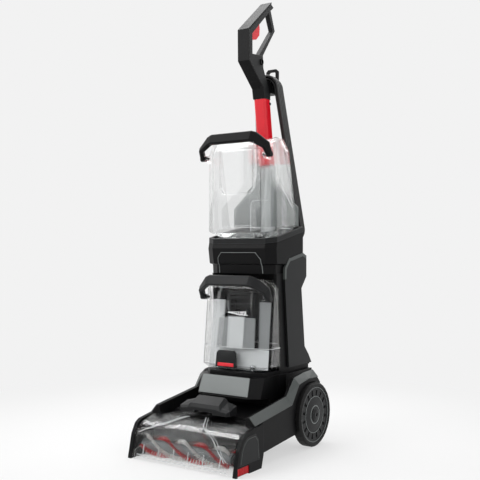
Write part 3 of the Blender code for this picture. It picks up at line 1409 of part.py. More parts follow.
POST_RADIUS = HANK_BEND_RADIUS - CORD_DIAMETER / 2 - 0.0005
POST_END_Y = 0.1575
LOOP_PLATE_END_Y = 0.1625
LOOP_PLATE_HALF = 0.0180
LOOP_PLATE_TOP_Z = 0.9410
ARM_HALF = HANK_BOTTOM_HALF + POST_RADIUS - 0.0014    # at the arm's top
ARM_TOP_Z = 0.5400
RELIEF_FOOT = Vector((-0.0400, 0.1780, ARM_TOP_Z + GAP))
RELIEF_LENGTH = 0.0300
HANK_START_Z = 0.6600
HANK_END_Z = 0.6000
TAIL_TURN = Vector((0.0600, 0.1850, 0.5150))      # where the tail passes beside the arm
PLUG_TOP = Vector((0.0500, 0.1880, 0.4700))
PLUG_LENGTH = 0.0360


def arc(centre, radius, first, last, steps):
    """Points round a centre from one angle to another, in degrees, ends included."""
    turns = [math.radians(first + (last - first) * i / steps) for i in range(steps + 1)]
    return [(centre[0] + radius * math.cos(t), centre[1] + radius * math.sin(t)) for t in turns]


def cord_hook_upper():
    """A half-round post behind the leg of the handle, with an upright loop at its end."""
    edge = inset(HANDLE_FRONT + HANDLE_REAR, -GAP)[-3:]
    upper, middle, lower = [Vector(point) for point in edge]
    share = (HANK_TOP.z + POST_RADIUS * 0.8 - middle.y) / (upper.y - middle.y)
    upper = middle.lerp(upper, share)
    root_y = lower.x + 0.002
    foot_z = lower.y + 0.0055
    root = [tuple(upper), tuple(middle), (lower.x - 0.002, foot_z), (root_y, foot_z), (root_y, upper.y)]
    hook = piece("cord_hook_upper", prism(root, -HANDLE_HALF + 0.002, HANDLE_HALF - 0.002), BLACK)
    post = arc((0.0, HANK_TOP.z), POST_RADIUS, 0, 180, 14)
    post += [(-POST_RADIUS * 0.8, HANK_TOP.z - 0.012), (POST_RADIUS * 0.8, HANK_TOP.z - 0.012)]
    join(hook, "hook_post", prism(post, root_y - 0.001, POST_END_Y + 0.001, along="Y"))
    half, corner = LOOP_PLATE_HALF, 0.006
    plate = [
        (-half, 0.875), (half, 0.875), (half, LOOP_PLATE_TOP_Z - corner),
        (half - corner, LOOP_PLATE_TOP_Z), (corner - half, LOOP_PLATE_TOP_Z),
        (-half, LOOP_PLATE_TOP_Z - corner),
    ]
    join(hook, "hook_plate", prism(plate, POST_END_Y, LOOP_PLATE_END_Y, along="Y"))
    opening = [(-0.010, 0.915), (0.010, 0.915), (0.010, 0.931), (0.007, 0.934), (-0.007, 0.934),
               (-0.010, 0.931)]
    cut(hook, "hook_eye", prism(opening, 0.13, 0.20, along="Y"))
    return hook


def cord_hook_lower():
    """The wide arm that the hank is stretched round, with a lip that keeps it on."""
    foot_y = POD_REAR_Y + GAP
    arm = arc((-HANK_BOTTOM_HALF, HANK_BOTTOM_Z), POST_RADIUS, 190, 270, 6)
    arm += arc((HANK_BOTTOM_HALF, HANK_BOTTOM_Z), POST_RADIUS, 270, 350, 6)
    arm += [(ARM_HALF, ARM_TOP_Z), (-ARM_HALF, ARM_TOP_Z)]
    hook = piece("cord_hook_lower", prism(arm, foot_y, HOOK_TIP_Y - HOOK_LIP / 2, along="Y"), BLACK)
    plate = [(-0.044, 0.4880), (0.044, 0.4880), (ARM_HALF, 0.4950), (ARM_HALF, ARM_TOP_Z),
             (-ARM_HALF, ARM_TOP_Z), (-ARM_HALF, 0.4950)]
    join(hook, "hook_foot", prism(plate, foot_y, foot_y + 0.006, along="Y"))
    lip = [(-0.030, 0.4850), (0.030, 0.4850), (0.042, 0.4950), (0.042, 0.5350), (0.036, ARM_TOP_Z),
           (-0.036, ARM_TOP_Z), (-0.042, 0.5350), (-0.042, 0.4950)]
    join(hook, "hook_lip", prism(lip, HOOK_TIP_Y - HOOK_LIP, HOOK_TIP_Y, along="Y"))
    return hook


def strain_relief():
    root, tip = 0.0060, CORD_DIAMETER / 2 + 0.0012
    z = RELIEF_FOOT.z
    profile = [(z, 0.0085), (z + 0.003, 0.0085), (z + 0.004, root), (z + RELIEF_LENGTH, tip)]
    centre = (RELIEF_FOOT.x, RELIEF_FOOT.y, 0.0)
    return piece("strain_relief", turned(profile, 14, along="Z", centre=centre), BLACK, smooth=30)


def tube(name, points, radius, resolution):
    curve = bpy.data.curves.new(name, "CURVE")
    curve.dimensions = "3D"
    curve.bevel_depth = radius
    curve.bevel_resolution = resolution
    curve.use_fill_caps = True
    curve.materials.append(CORD_PVC)
    line = curve.splines.new("POLY")
    line.points.add(len(points) - 1)
    for node, point in zip(line.points, points):
        node.co = (*point, 1.0)
    made = bpy.data.objects.new(name, curve)
    bpy.context.collection.objects.link(made)
    return made


def eased(start, start_way, end, end_way, steps):
    """Points on a smooth line between two places, leaving and arriving in given directions."""
    pull = (end - start).length
    points = []
    for i in range(steps + 1):
        t = i / steps
        points.append(
            start * (2 * t**3 - 3 * t**2 + 1) + start_way * pull * (t**3 - 2 * t**2 + t)
            + end * (3 * t**2 - 2 * t**3) + end_way * pull * (t**3 - t**2)
        )
    return points


def hank_offsets(turns):
    """Layer height and sideways place of the strand after a number of turns.

    The first layer is laid towards the rear, the strand climbs for half a turn, and the second
    layer is laid back over the first.
    """
    half_width = CORD_PITCH * TURNS_PER_LAYER / 2
    climb = min(max((turns - TURNS_PER_LAYER) / 0.5, 0.0), 1.0)
    if turns <= TURNS_PER_LAYER:
        sideways = -half_width + CORD_PITCH * turns
    else:
        back = max(turns - TURNS_PER_LAYER - 0.5, 0.0)
        sideways = half_width - CORD_PITCH * back + CORD_PITCH * 0.25 * math.sin(math.pi * climb)
    return CORD_PITCH * climb, sideways


def hank_point(x, z, sideways):
    lean = (HANK_BOTTOM_Y - HANK_TOP.y) / (HANK_TOP.z - HANK_BOTTOM_Z)
    return Vector((x, HANK_TOP.y + (HANK_TOP.z - z) * lean + sideways, z))


def hank_strand():
    """The loops of the hank from the end near the strain relief, one unbroken line."""
    centres = [
        (0.0, HANK_TOP.z), (HANK_BOTTOM_HALF, HANK_BOTTOM_Z), (-HANK_BOTTOM_HALF, HANK_BOTTOM_Z),
    ]
    points = []
    last = 2 * TURNS_PER_LAYER + 0.5
    step = 0
    while (step + 0.5) / POINTS_PER_TURN < last:
        turns = (step + 0.5) / POINTS_PER_TURN
        rise, sideways = hank_offsets(turns)
        angle = math.pi - 2 * math.pi * turns
        ahead = (math.cos(angle), math.sin(angle))
        x, z = max(centres, key=lambda c: ahead[0] * c[0] + ahead[1] * c[1])
        radius = HANK_BEND_RADIUS + rise
        points.append(hank_point(x + ahead[0] * radius, z + ahead[1] * radius, sideways))
        step += 1
    return points


def run_between(upper, lower, z):
    share = (upper.z - z) / (upper.z - lower.z)
    return upper.lerp(lower, share)


def hank_ends(strand):
    """Where the loops start on the left run, and end on the right run, with their directions."""
    foot = strand[POINTS_PER_TURN - 1] + Vector((0.0, -CORD_PITCH, 0.0))
    start = run_between(strand[0], foot, HANK_START_Z)
    up = (strand[0] - foot).normalized()
    last_bend = POINTS_PER_TURN * (2 * TURNS_PER_LAYER - 1) + POINTS_PER_TURN // 2
    down = (strand[last_bend] - strand[last_bend - 1]).normalized()
    end = strand[-1] + down * ((strand[-1].z - HANK_END_Z) / -down.z)
    return start, up, end, down


def least_gap(points, radius, reach):
    """The least clear space between stretches of one line that lie apart along it."""
    samples = []
    run = 0.0
    for a, b in zip(points, points[1:]):
        steps = max(1, round((b - a).length / 0.003))
        for i in range(steps):
            samples.append((run + (b - a).length * i / steps, a.lerp(b, i / steps)))
        run += (b - a).length
    least = 1.0
    for i, (at, point) in enumerate(samples):
        for along, other in samples[i + 1:]:
            if along - at > reach:
                least = min(least, (other - point).length_squared)
    return math.sqrt(least) - 2 * radius, run


def cord():
    """The lead from the strain relief, the hank with its tail, and the plug at the tail's end."""
    strand = hank_strand()
    start, up, end, down = hank_ends(strand)
    straight = Vector((0.0, 0.0, CORD_DIAMETER))
    tail_end = PLUG_TOP + straight
    drop = Vector((0.0, 0.0, -1.0))
    tail = eased(end, down, TAIL_TURN, drop, 6) + eased(TAIL_TURN, drop, tail_end, drop, 4)[1:]
    points = [start, *strand, *tail, PLUG_TOP]
    radius = CORD_DIAMETER / 2
    gap, length = least_gap(points, radius, 0.06)
    print(f"cord: least gap {gap * 1000:.2f} mm, length {length:.2f} m")
    hank = tube("cord_hank", points, radius, 1)
    foot = RELIEF_FOOT + Vector((0.0, 0.0, RELIEF_LENGTH + GAP))
    meet = start - up * GAP
    bend = eased(foot + straight, straight.normalized(), meet - up * CORD_DIAMETER, up, 5)
    return hank, tube("cord_lead", [foot, *bend, meet], radius, 2)


def plug():
    """A moulded plug with two flat blades and a round earth pin."""
    x, y, top = PLUG_TOP.x, PLUG_TOP.y, PLUG_TOP.z - GAP
    # how far below the cord's end, then the half sizes there
    levels = [(0.0, 0.0060, 0.0060), (0.010, 0.0080, 0.0080), (0.016, 0.0115, 0.0100),
              (PLUG_LENGTH, 0.0125, 0.0110)]
    rings = []
    for drop, a, b in levels:
        right = [(0.0, -b), (a * 0.6, -b), (a, -b * 0.5), (a, b * 0.5), (a * 0.6, b), (0.0, b)]
        rings.append([(x + dx, y + dy, top - drop) for dx, dy in mirrored(right)])
    made = piece("plug", loft(rings), BLACK)
    foot = top - PLUG_LENGTH
    for side in (-1, 1):
        near, far = sorted((x + side * 0.0056, x + side * 0.0071))
        join(made, "blade", box((near, y - 0.0032, foot - 0.016), (far, y + 0.0032, foot + 0.002)))
    pin = (x, y + 0.007, 0.0)
    join(made, "earth_pin", disc(0.0024, foot - 0.018, foot + 0.002, 12, along="Z", centre=pin))
    return made


# ---------------------------------------------------------------- assembly

def clear_scene():
    for old in list(bpy.data.objects):
        bpy.data.objects.remove(old)


def build_foot():
    foot_chassis()
    for side in (-1, 1):
        side_trim(side)
        side_panel(side)
        edge_brush(side)
    sole_plate()
    brush_motor()
    drive_belt()
    wheel_axle()
    for name, side in (("left", -1), ("right", 1)):
        at = (side * WHEEL_FACE_X, AXLE_Y, WHEEL_RADIUS)
        wheel = [tyre(f"tyre_{name}", side), wheel_disc(f"wheel_disc_{name}", side)]
        grouped(f"wheel_{name}_axis", at, wheel)
    rows = [
        bristle_row("bristles_red_1", 0.587, RED_NYLON),
        bristle_row("bristles_red_2", 0.087, RED_NYLON),
        bristle_row("bristles_white_1", 0.335, WHITE_NYLON),
        bristle_row("bristles_white_2", 0.835, WHITE_NYLON),
    ]
    grouped("brush_axis", (0.0, BRUSH_Y, BRUSH_Z), [brush_core(), brush_pulley(), *rows])
    motor_pulley()
    grouped("nozzle_slide", (0.0, NOZZLE_STATIONS[-1][0], NOZZLE_STATIONS[-1][1]),
            [nozzle_window(), suction_channel()])
    grouped("latch_slide", (0.0, LATCH_POST_Y, LATCH_BOTTOM_Z), [nozzle_latch()])


def build_upright():
    still = [
        upright_base(), base_front_panel(), water_pump(), spine(), pod_shell(), pod_rim(),
        pod_front_panel(), pod_back_cover(), suction_motor(), neck(), stem(), handle_frame(),
        grip_band(), cord_hook_upper(), cord_hook_lower(), strain_relief(), *cord(), plug(),
    ]
    for side in (-1, 1):
        still += [spine_cover(side), cover_trim(side)]
    dirty_pivot = (0.0, DIRTY_PIVOT_Y, DIRTY_PIVOT_Z)
    dirty_grip = bail("dirty_bail", *dirty_pivot[1:], -0.0375, 0.4020, DARK_GREY)
    clean_pivot = (0.0, CLEAN_PIVOT_Y, CLEAN_PIVOT_Z)
    clean_grip = bail("clean_bail", *clean_pivot[1:], -0.0300, 0.7420, BLACK)
    dirty_arm = grouped("dirty_bail_axis", dirty_pivot, [dirty_grip])
    moving = [
        grouped("dirty_tank_slide", (0.0, DIRTY_REAR_Y, DIRTY_FOOT_Z), [
            dirty_tank(), dirty_lid(), float_stack(), dirty_arm,
        ]),
        grouped("clean_tank_lift", (0.0, CLEAN_REAR_FOOT_Y, tray_floor(CLEAN_REAR_FOOT_Y)), [
            clean_tank(), grouped("clean_cap_axis", (CAP_X, CAP_Y, CAP_TOP_Z), [clean_cap()]),
            grouped("clean_bail_axis", clean_pivot, [clean_grip]),
        ]),
        grouped("trigger_axis", TRIGGER_PIVOT, [trigger()]),
        grouped("switch_axis", (SWITCH_X, POD_REAR_Y - POD_WALL / 2, SWITCH_Z), [power_switch()]),
        grouped("fan_axis", (0.0, FAN_Y, POD_BOTTOM_Z), [suction_fan()]),
    ]
    grouped("recline_axis", (0.0, AXLE_Y, WHEEL_RADIUS), still + moving)


def main():
    clear_scene()
    build_foot()
    build_upright()


main()
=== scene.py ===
"""Looks of an upright carpet cleaner, built as an add-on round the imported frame.

Metres, +Z up, in the frame's own axes: the foot's lip faces -Y and the floor is Z = 0.
"""

import json
import math
import random

import bmesh
import bpy
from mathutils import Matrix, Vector
from mathutils.bvhtree import BVHTree


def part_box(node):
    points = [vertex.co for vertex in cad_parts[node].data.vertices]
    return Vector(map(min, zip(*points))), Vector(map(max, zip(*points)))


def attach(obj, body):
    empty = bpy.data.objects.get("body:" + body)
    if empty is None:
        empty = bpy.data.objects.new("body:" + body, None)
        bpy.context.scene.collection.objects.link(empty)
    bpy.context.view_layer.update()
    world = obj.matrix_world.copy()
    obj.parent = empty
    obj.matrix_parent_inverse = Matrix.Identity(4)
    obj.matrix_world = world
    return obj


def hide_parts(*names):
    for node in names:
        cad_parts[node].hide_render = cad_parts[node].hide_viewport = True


bl_info = {
    "name": "Carpet cleaner looks",
    "version": (1, 1, 0),
    "blender": (4, 5, 0),
    "location": "View3D > Sidebar > Cleaner",
    "description": "Finishes, cord, bristles and fittings of an upright carpet cleaner",
    "category": "Object",
}

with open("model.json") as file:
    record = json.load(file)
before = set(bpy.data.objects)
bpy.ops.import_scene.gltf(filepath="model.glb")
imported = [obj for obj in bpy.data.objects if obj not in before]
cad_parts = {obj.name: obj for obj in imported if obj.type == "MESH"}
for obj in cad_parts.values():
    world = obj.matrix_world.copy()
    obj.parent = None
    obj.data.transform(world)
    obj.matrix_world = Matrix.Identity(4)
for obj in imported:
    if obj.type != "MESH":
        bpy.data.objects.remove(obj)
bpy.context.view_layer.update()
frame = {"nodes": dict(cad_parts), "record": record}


def linear(code):
    """An sRGB colour code as linear values."""
    parts = [int(code[i:i + 2], 16) / 255 for i in (0, 2, 4)]
    return [c / 12.92 if c <= 0.04045 else ((c + 0.055) / 1.055) ** 2.4 for c in parts]


# ---------------------------------------------------------------- settings

def colour_setting(name, description, code):
    """A colour that the panel shows."""
    return bpy.props.FloatVectorProperty(
        name=name, description=description, subtype="COLOR", size=3, min=0.0, max=1.0,
        default=linear(code))


def length_setting(name, description, value):
    """A length in metres that the panel shows."""
    return bpy.props.FloatProperty(
        name=name, description=description, default=value, min=0.0, unit="LENGTH", precision=5)


class CleanerColours(bpy.types.PropertyGroup):
    """Colours of the machine's finishes."""

    black: colour_setting("Black", "Housings, upper bail and grip", "0C0C0D")
    dark_grey: colour_setting(
        "Dark grey", "Handle sides, lower bail, rim, latch and covers", "1A1B1C")
    grey: colour_setting("Grey", "Trim strips, front panel and shoulder plate", "747978")
    light_grey: colour_setting("Light grey", "Neck, brush core and fan", "CDD0D0")
    red: colour_setting("Red", "Stem and trigger", "E01226")
    clear: colour_setting("Clear", "Tanks and nozzle", "F2F4F4")
    rubber: colour_setting("Rubber", "Tyres and belt", "090909")
    red_nylon: colour_setting("Red nylon", "Red bristles", "D2141F")
    white_nylon: colour_setting("White nylon", "White bristles", "EDEDEA")
    cord: colour_setting("Cord", "Jacket of the power cord", "0F0F10")


class CleanerSizes(bpy.types.PropertyGroup):
    """Sizes of the repeated and wound pieces."""

    cord_diameter: length_setting("Cord diameter", "Outside of the cord's jacket", 0.0070)
    cord_pitch: length_setting("Cord pitch", "From one turn of the hank to the next", 0.0076)
    strand_diameter: length_setting("Strand diameter", "One nylon bristle", 0.00060)
    screw_diameter: length_setting("Screw diameter", "Head of a housing screw", 0.0070)
    seed: bpy.props.IntProperty(
        name="Seed", description="Fixes how the bristles lean", default=7, min=0)


# ---------------------------------------------------------------- finishes

def add(tree, kind, inputs=None, **settings):
    """Adds a node of a kind with its settings, and feeds each named input a value or a link."""
    made = tree.nodes.new(kind)
    for name, value in settings.items():
        setattr(made, name, value)
    for name, value in (inputs or {}).items():
        if isinstance(value, bpy.types.NodeSocket):
            tree.links.new(value, made.inputs[name])
        else:
            made.inputs[name].default_value = value
    return made


def new_finish(name, **sockets):
    """A material whose shader holds these constant socket values."""
    made = bpy.data.materials.new(name)
    made.use_nodes = True
    shader = made.node_tree.nodes["Principled BSDF"]
    for socket, value in sockets.items():
        shader.inputs[socket.replace("_", " ")].default_value = value
    return made, made.node_tree, shader


def mottled(tree, place, colour, amount, scale_mm):
    """A colour that drifts a little darker and lighter over patches of that size."""
    patch = add(tree, "ShaderNodeTexNoise", {
        "Vector": place, "Scale": 1000.0 / scale_mm, "Detail": 3.0})
    drift = add(tree, "ShaderNodeMix", {
        "Factor": patch.outputs["Fac"],
        "A": (*[c * (1.0 - amount) for c in colour], 1.0),
        "B": (*[min(1.0, c * (1.0 + amount)) for c in colour], 1.0)}, data_type="RGBA")
    return patch.outputs["Fac"], drift.outputs["Result"]


def moulded(name, colour, roughness, grain, grain_mm, edge_highlight=0.0, sheen=0.5, edge=0.0007):
    """Moulded plastic: a faint drift of tone, spark-eroded grain, rounded edges that catch the
    light, and a painted highlight: a paler colour along the rounded edges. Grain scales are real."""
    made, tree, shader = new_finish(name, IOR=1.53, Specular_IOR_Level=sheen)
    place = add(tree, "ShaderNodeTexCoord").outputs["Object"]
    patch, tone = mottled(tree, place, colour, 0.07, 40.0)
    round_edge = add(tree, "ShaderNodeBevel", {"Radius": edge}, samples=6)
    # Painted highlight: the colour turns paler where the rounded-edge normal leans away from the
    # flat face.
    if edge_highlight:
        flat = add(tree, "ShaderNodeNewGeometry").outputs["Normal"]
        facing = add(tree, "ShaderNodeVectorMath", {
            0: round_edge.outputs["Normal"], 1: flat}, operation="DOT_PRODUCT")
        painted_highlight = add(tree, "ShaderNodeMapRange", {
            "Value": facing.outputs["Value"], "From Min": 0.995, "From Max": 0.86, "To Max": edge_highlight})
        tone = add(tree, "ShaderNodeMix", {
            "Factor": painted_highlight.outputs["Result"], "A": tone,
            "B": (*[min(1.0, c * 2.0 + 0.16) for c in colour], 1.0)},
            data_type="RGBA").outputs["Result"]
    spread = add(tree, "ShaderNodeMapRange", {
        "Value": patch, "To Min": roughness * 0.85, "To Max": min(1.0, roughness * 1.15)})
    texture = add(tree, "ShaderNodeTexNoise", {
        "Vector": place, "Scale": 1000.0 / grain_mm, "Detail": 2.0})
    bump = add(tree, "ShaderNodeBump", {
        "Strength": grain, "Distance": 0.0001, "Height": texture.outputs["Fac"],
        "Normal": round_edge.outputs["Normal"]})
    tree.links.new(tone, shader.inputs["Base Color"])
    tree.links.new(spread.outputs["Result"], shader.inputs["Roughness"])
    tree.links.new(bump.outputs["Normal"], shader.inputs["Normal"])
    return made


def clear_plastic(name, colour, square_on, edge_on):
    """Clear injection-moulded polycarbonate: open when seen square on and closing where the wall
    turns away, with painted shade there (a dark grey colour along the turned edge), and the slow
    waviness of its flow lines."""
    made, tree, shader = new_finish(name, IOR=1.45, Transmission_Weight=1.0, Roughness=0.01)
    turned_away = add(tree, "ShaderNodeLayerWeight", {"Blend": 0.35}).outputs["Facing"]
    body = add(tree, "ShaderNodeMapRange", {
        "Value": turned_away, "From Min": 0.25, "To Min": square_on, "To Max": edge_on})
    tree.links.new(body.outputs["Result"], shader.inputs["Alpha"])
    place = add(tree, "ShaderNodeTexCoord").outputs["Object"]
    # Painted shade: the colour goes dark grey where the wall turns away from the view.
    rim = add(tree, "ShaderNodeMapRange", {
        "Value": turned_away, "From Min": 0.72, "From Max": 0.95})
    tone = add(tree, "ShaderNodeMix", {
        "Factor": rim.outputs["Result"], "A": mottled(tree, place, colour, 0.02, 60.0)[1],
        "B": (0.16, 0.17, 0.17, 1.0)}, data_type="RGBA").outputs["Result"]
    flow = add(tree, "ShaderNodeTexNoise", {"Vector": place, "Scale": 45.0, "Detail": 1.0})
    bump = add(tree, "ShaderNodeBump", {
        "Strength": 0.03, "Distance": 0.0004, "Height": flow.outputs["Fac"]})
    tree.links.new(tone, shader.inputs["Base Color"])
    tree.links.new(bump.outputs["Normal"], shader.inputs["Normal"])
    return made


def painted_light_sheet(name, colour, alpha):
    """A rough translucent sheet whose colour is painted light, which passes light but no picture.
    """
    made, tree, shader = new_finish(name, IOR=1.45, Alpha=alpha, Roughness=0.32)
    place = add(tree, "ShaderNodeTexCoord").outputs["Object"]
    tone = mottled(tree, place, colour, 0.05, 30.0)[1]
    frost = add(tree, "ShaderNodeTexNoise", {"Vector": place, "Scale": 1600.0, "Detail": 2.0})
    bump = add(tree, "ShaderNodeBump", {
        "Strength": 0.25, "Distance": 0.0001, "Height": frost.outputs["Fac"]})
    tree.links.new(tone, shader.inputs["Base Color"])
    tree.links.new(bump.outputs["Normal"], shader.inputs["Normal"])
    return made


def plated_metal(name, code, roughness):
    """Zinc-plated steel: bright, with fine drawing lines round the part and cloudy patches."""
    made, tree, shader = new_finish(name, Metallic=1.0)
    place = add(tree, "ShaderNodeTexCoord").outputs["Object"]
    cloud, tone = mottled(tree, place, linear(code), 0.12, 9.0)
    spread = add(tree, "ShaderNodeMapRange", {
        "Value": cloud, "To Min": roughness * 0.7, "To Max": roughness * 1.3})
    stretch = add(tree, "ShaderNodeMapping", {"Vector": place, "Scale": (1.0, 0.05, 1.0)})
    lines = add(tree, "ShaderNodeTexNoise", {
        "Vector": stretch.outputs["Vector"], "Scale": 2200.0, "Detail": 1.0})
    bump = add(tree, "ShaderNodeBump", {
        "Strength": 0.2, "Distance": 0.0001, "Height": lines.outputs["Fac"]})
    tree.links.new(tone, shader.inputs["Base Color"])
    tree.links.new(spread.outputs["Result"], shader.inputs["Roughness"])
    tree.links.new(bump.outputs["Normal"], shader.inputs["Normal"])
    return made


def make_finishes(colours):
    """Every finish by the record's slot, and the few that only fittings use."""
    return {
        "black_abs": moulded("black_abs", colours.black, 0.42, 0.30, 0.7, edge_highlight=0.12, sheen=0.10),
        "dark_grey_abs": moulded(
            "dark_grey_abs", colours.dark_grey, 0.42, 0.35, 0.6, edge_highlight=0.55, sheen=0.16),
        "grey_abs": moulded("grey_abs", colours.grey, 0.36, 0.20, 0.6, edge_highlight=0.25, sheen=0.4),
        "light_grey_abs": moulded("light_grey_abs", colours.light_grey, 0.35, 0.15, 0.6),
        "red_abs": moulded("gloss_red_abs", colours.red, 0.22, 0.05, 1.5, edge_highlight=0.15),
        "smoked_polycarbonate": clear_plastic("clear_polycarbonate", colours.clear, 0.26, 0.95),
        "tyre_rubber": moulded("tyre_rubber", colours.rubber, 0.62, 0.55, 0.5, sheen=0.25),
        "plated_steel": plated_metal("zinc_plated_steel", "B4B6B8", 0.26),
        "red_nylon": moulded("red_nylon", colours.red_nylon, 0.40, 0.0, 1.0, edge=0.0001),
        "white_nylon": moulded("white_nylon", colours.white_nylon, 0.40, 0.0, 1.0, edge=0.0001),
        "cord_pvc": moulded("cord_pvc", colours.cord, 0.42, 0.25, 0.8),
        "nozzle_clear": clear_plastic("nozzle_clear", colours.clear, 0.13, 0.80),
        "inner_clear": clear_plastic("inner_clear", colours.clear, 0.05, 0.45),
        # Painted shade: a darker copy of the grey, for the grey trims on the machine's sides; the
        # cheeks' rim lines use it too.
        "shaded_grey_abs": moulded(
            "shaded_grey_abs", linear("4A4E4D"), 0.40, 0.25, 0.6, edge_highlight=0.35, sheen=0.25),
        "core_grey": moulded("core_grey", linear("6E7273"), 0.45, 0.15, 0.6, sheen=0.3),
        # The milky finish paints highlights and also colours the moulded lines; the smoke finish
        # paints shade.
        "milky_panel": painted_light_sheet("milky_panel", linear("DCDFE0"), 0.80),
        "smoke_panel": painted_light_sheet("smoke_panel", linear("8E9192"), 0.85),
    }


FINISHES = {}
# The trims on the sides take the darker copy of their grey, as painted shade.
OWN_FINISHES = {
    "nozzle_window": "nozzle_clear", "suction_channel": "inner_clear", "brush_core": "core_grey",
    "side_trim_left": "shaded_grey_abs", "side_trim_right": "shaded_grey_abs",
    "cover_trim_left": "shaded_grey_abs", "cover_trim_right": "shaded_grey_abs",
}


# ---------------------------------------------------------------- tools

def registered(made, body, slot, finish=None):
    """Puts a new piece in the scene and on its body, with the named finish, or else the finish of
    the record's slot.
    """
    if made.name not in bpy.context.scene.objects:
        bpy.context.scene.collection.objects.link(made)
    if not made.data.materials:
        made.data.materials.append(FINISHES[finish or slot])
    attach(made, body)
    return made


def skin(node):
    """A node's surface, on which a fitting finds its place."""
    mesh = frame["nodes"][node].data
    return BVHTree.FromPolygons(
        [v.co for v in mesh.vertices], [tuple(p.vertices) for p in mesh.polygons])


def landing(surface, start, way):
    """Where a line from start first meets the surface, and which way the surface faces there."""
    point, normal, _, _ = surface.ray_cast(start, way)
    if point is None:
        raise RuntimeError(f"nothing to sit on from {tuple(round(c, 4) for c in start)}")
    return point, normal if normal.dot(way) < 0 else -normal


def stepped(path, step=0.006):
    """A two-way line with points no further apart than a step."""
    laid = []
    for (a0, b0), (a1, b1) in zip(path, path[1:]):
        count = max(1, round(math.hypot(a1 - a0, b1 - b0) / step))
        laid += [(a0 + (a1 - a0) * i / count, b0 + (b1 - b0) * i / count) for i in range(count)]
    return [*laid, path[-1]]


def from_front(surface, path):
    """Points and facings of a line given as (x, z), laid on a surface seen from the front."""
    return [landing(surface, Vector((x, -1.0, z)), Vector((0, 1, 0))) for x, z in stepped(path)]


def from_side(surface, path, side=1):
    """The same for (y, z), seen from one side."""
    return [landing(surface, Vector((side, y, z)), Vector((-side, 0, 0))) for y, z in stepped(path)]


def from_above(surface, path):
    """The same for (x, y), seen from above."""
    return [landing(surface, Vector((x, y, 2.0)), Vector((0, 0, -1))) for x, y in stepped(path)]


def oval(centre, half_width, half_height, count):
    """Points round an oval, on a plane."""
    return [(centre[0] + half_width * math.cos(a), centre[1] + half_height * math.sin(a))
            for a in (2 * math.pi * i / count for i in range(count))]


def finished(name, shape):
    """A built shape as an object."""
    mesh = bpy.data.meshes.new(name)
    shape.to_mesh(mesh)
    shape.free()
    return bpy.data.objects.new(name, mesh)


def applied(made, step):
    """The mesh that a modifier gives, which is then removed."""
    ready = made.evaluated_get(bpy.context.evaluated_depsgraph_get())
    mesh = bpy.data.meshes.new_from_object(ready)
    made.modifiers.remove(step)
    return mesh


def lofted(name, rings, closed=False):
    """A closed solid through rings of equal count, capped at both ends or joined end to end."""
    shape = bmesh.new()
    rows = [[shape.verts.new(point) for point in ring] for ring in rings]
    count = len(rows[0])
    pairs = list(zip(rows, rows[1:])) + ([(rows[-1], rows[0])] if closed else [])
    for low, high in pairs:
        for i in range(count):
            j = (i + 1) % count
            shape.faces.new((low[i], low[j], high[j], high[i]))
    if not closed:
        shape.faces.new(rows[0][::-1])
        shape.faces.new(rows[-1])
    bmesh.ops.recalc_face_normals(shape, faces=shape.faces)
    return finished(name, shape)


def softened(made, width=0.0006, segments=2, angle=30.0):
    """Rounds a piece's edges, as a mould does."""
    bpy.context.scene.collection.objects.link(made)
    step = made.modifiers.new("Round", "BEVEL")
    step.width, step.segments = width, segments
    step.limit_method, step.angle_limit = "ANGLE", math.radians(angle)
    made.data = applied(made, step)
    made.data.polygons.foreach_set("use_smooth", [True] * len(made.data.polygons))
    made.data.set_sharp_from_angle(angle=math.radians(40))
    return made


def carved(made, cutter):
    """Takes a closed cutter out of a piece."""
    for used in (made, cutter):
        if used.name not in bpy.context.scene.objects:
            bpy.context.scene.collection.objects.link(used)
    step = made.modifiers.new("Carve", "BOOLEAN")
    step.operation, step.solver, step.object = "DIFFERENCE", "EXACT", cutter
    made.data = applied(made, step)
    bpy.data.objects.remove(cutter)
    return made


def joined(name, parts):
    """Several closed solids as one piece."""
    shape = bmesh.new()
    for part in parts:
        shape.from_mesh(part.data)
        bpy.data.objects.remove(part)
    return finished(name, shape)


def bead(name, laid, width, height, closed=False):
    """A low rib with bevelled shoulders, along points that lie on a surface."""
    rings = []
    count = len(laid)
    for i, (point, normal) in enumerate(laid):
        before = laid[(i - 1) % count][0] if closed or i else point
        after = laid[(i + 1) % count][0] if closed or i + 1 < count else point
        along = (after - before).normalized()
        aside = along.cross(normal).normalized() * (width / 2)
        foot, top = -normal * 0.0004, normal * height
        rings.append([
            point + aside + foot, point + aside + top * 0.6, point + aside * 0.6 + top,
            point - aside * 0.6 + top, point - aside + top * 0.6, point - aside + foot])
    return lofted(name, rings, closed)


def slab(name, corners, push):
    """A panel: its corners in order, and the way and depth that they are pushed."""
    return lofted(name, [corners, [corner + push for corner in corners]])


def block(name, low, high):
    """A cutter with straight sides."""
    corners = [Vector((x, y, low[2])) for x, y in (
        (low[0], low[1]), (high[0], low[1]), (high[0], high[1]), (low[0], high[1]))]
    return slab(name, corners, Vector((0.0, 0.0, high[2] - low[2])))


def turned(name, profile, centre, axis, sides=32):
    """A lathe-turned solid: (distance along the axis, radius) from one end to the other."""
    turn = axis.to_track_quat("Z", "Y")
    rings = []
    for along, radius in profile:
        rings.append([
            centre + turn @ Vector((radius * math.cos(a), radius * math.sin(a), along))
            for a in (2 * math.pi * i / sides for i in range(sides))])
    return lofted(name, rings)


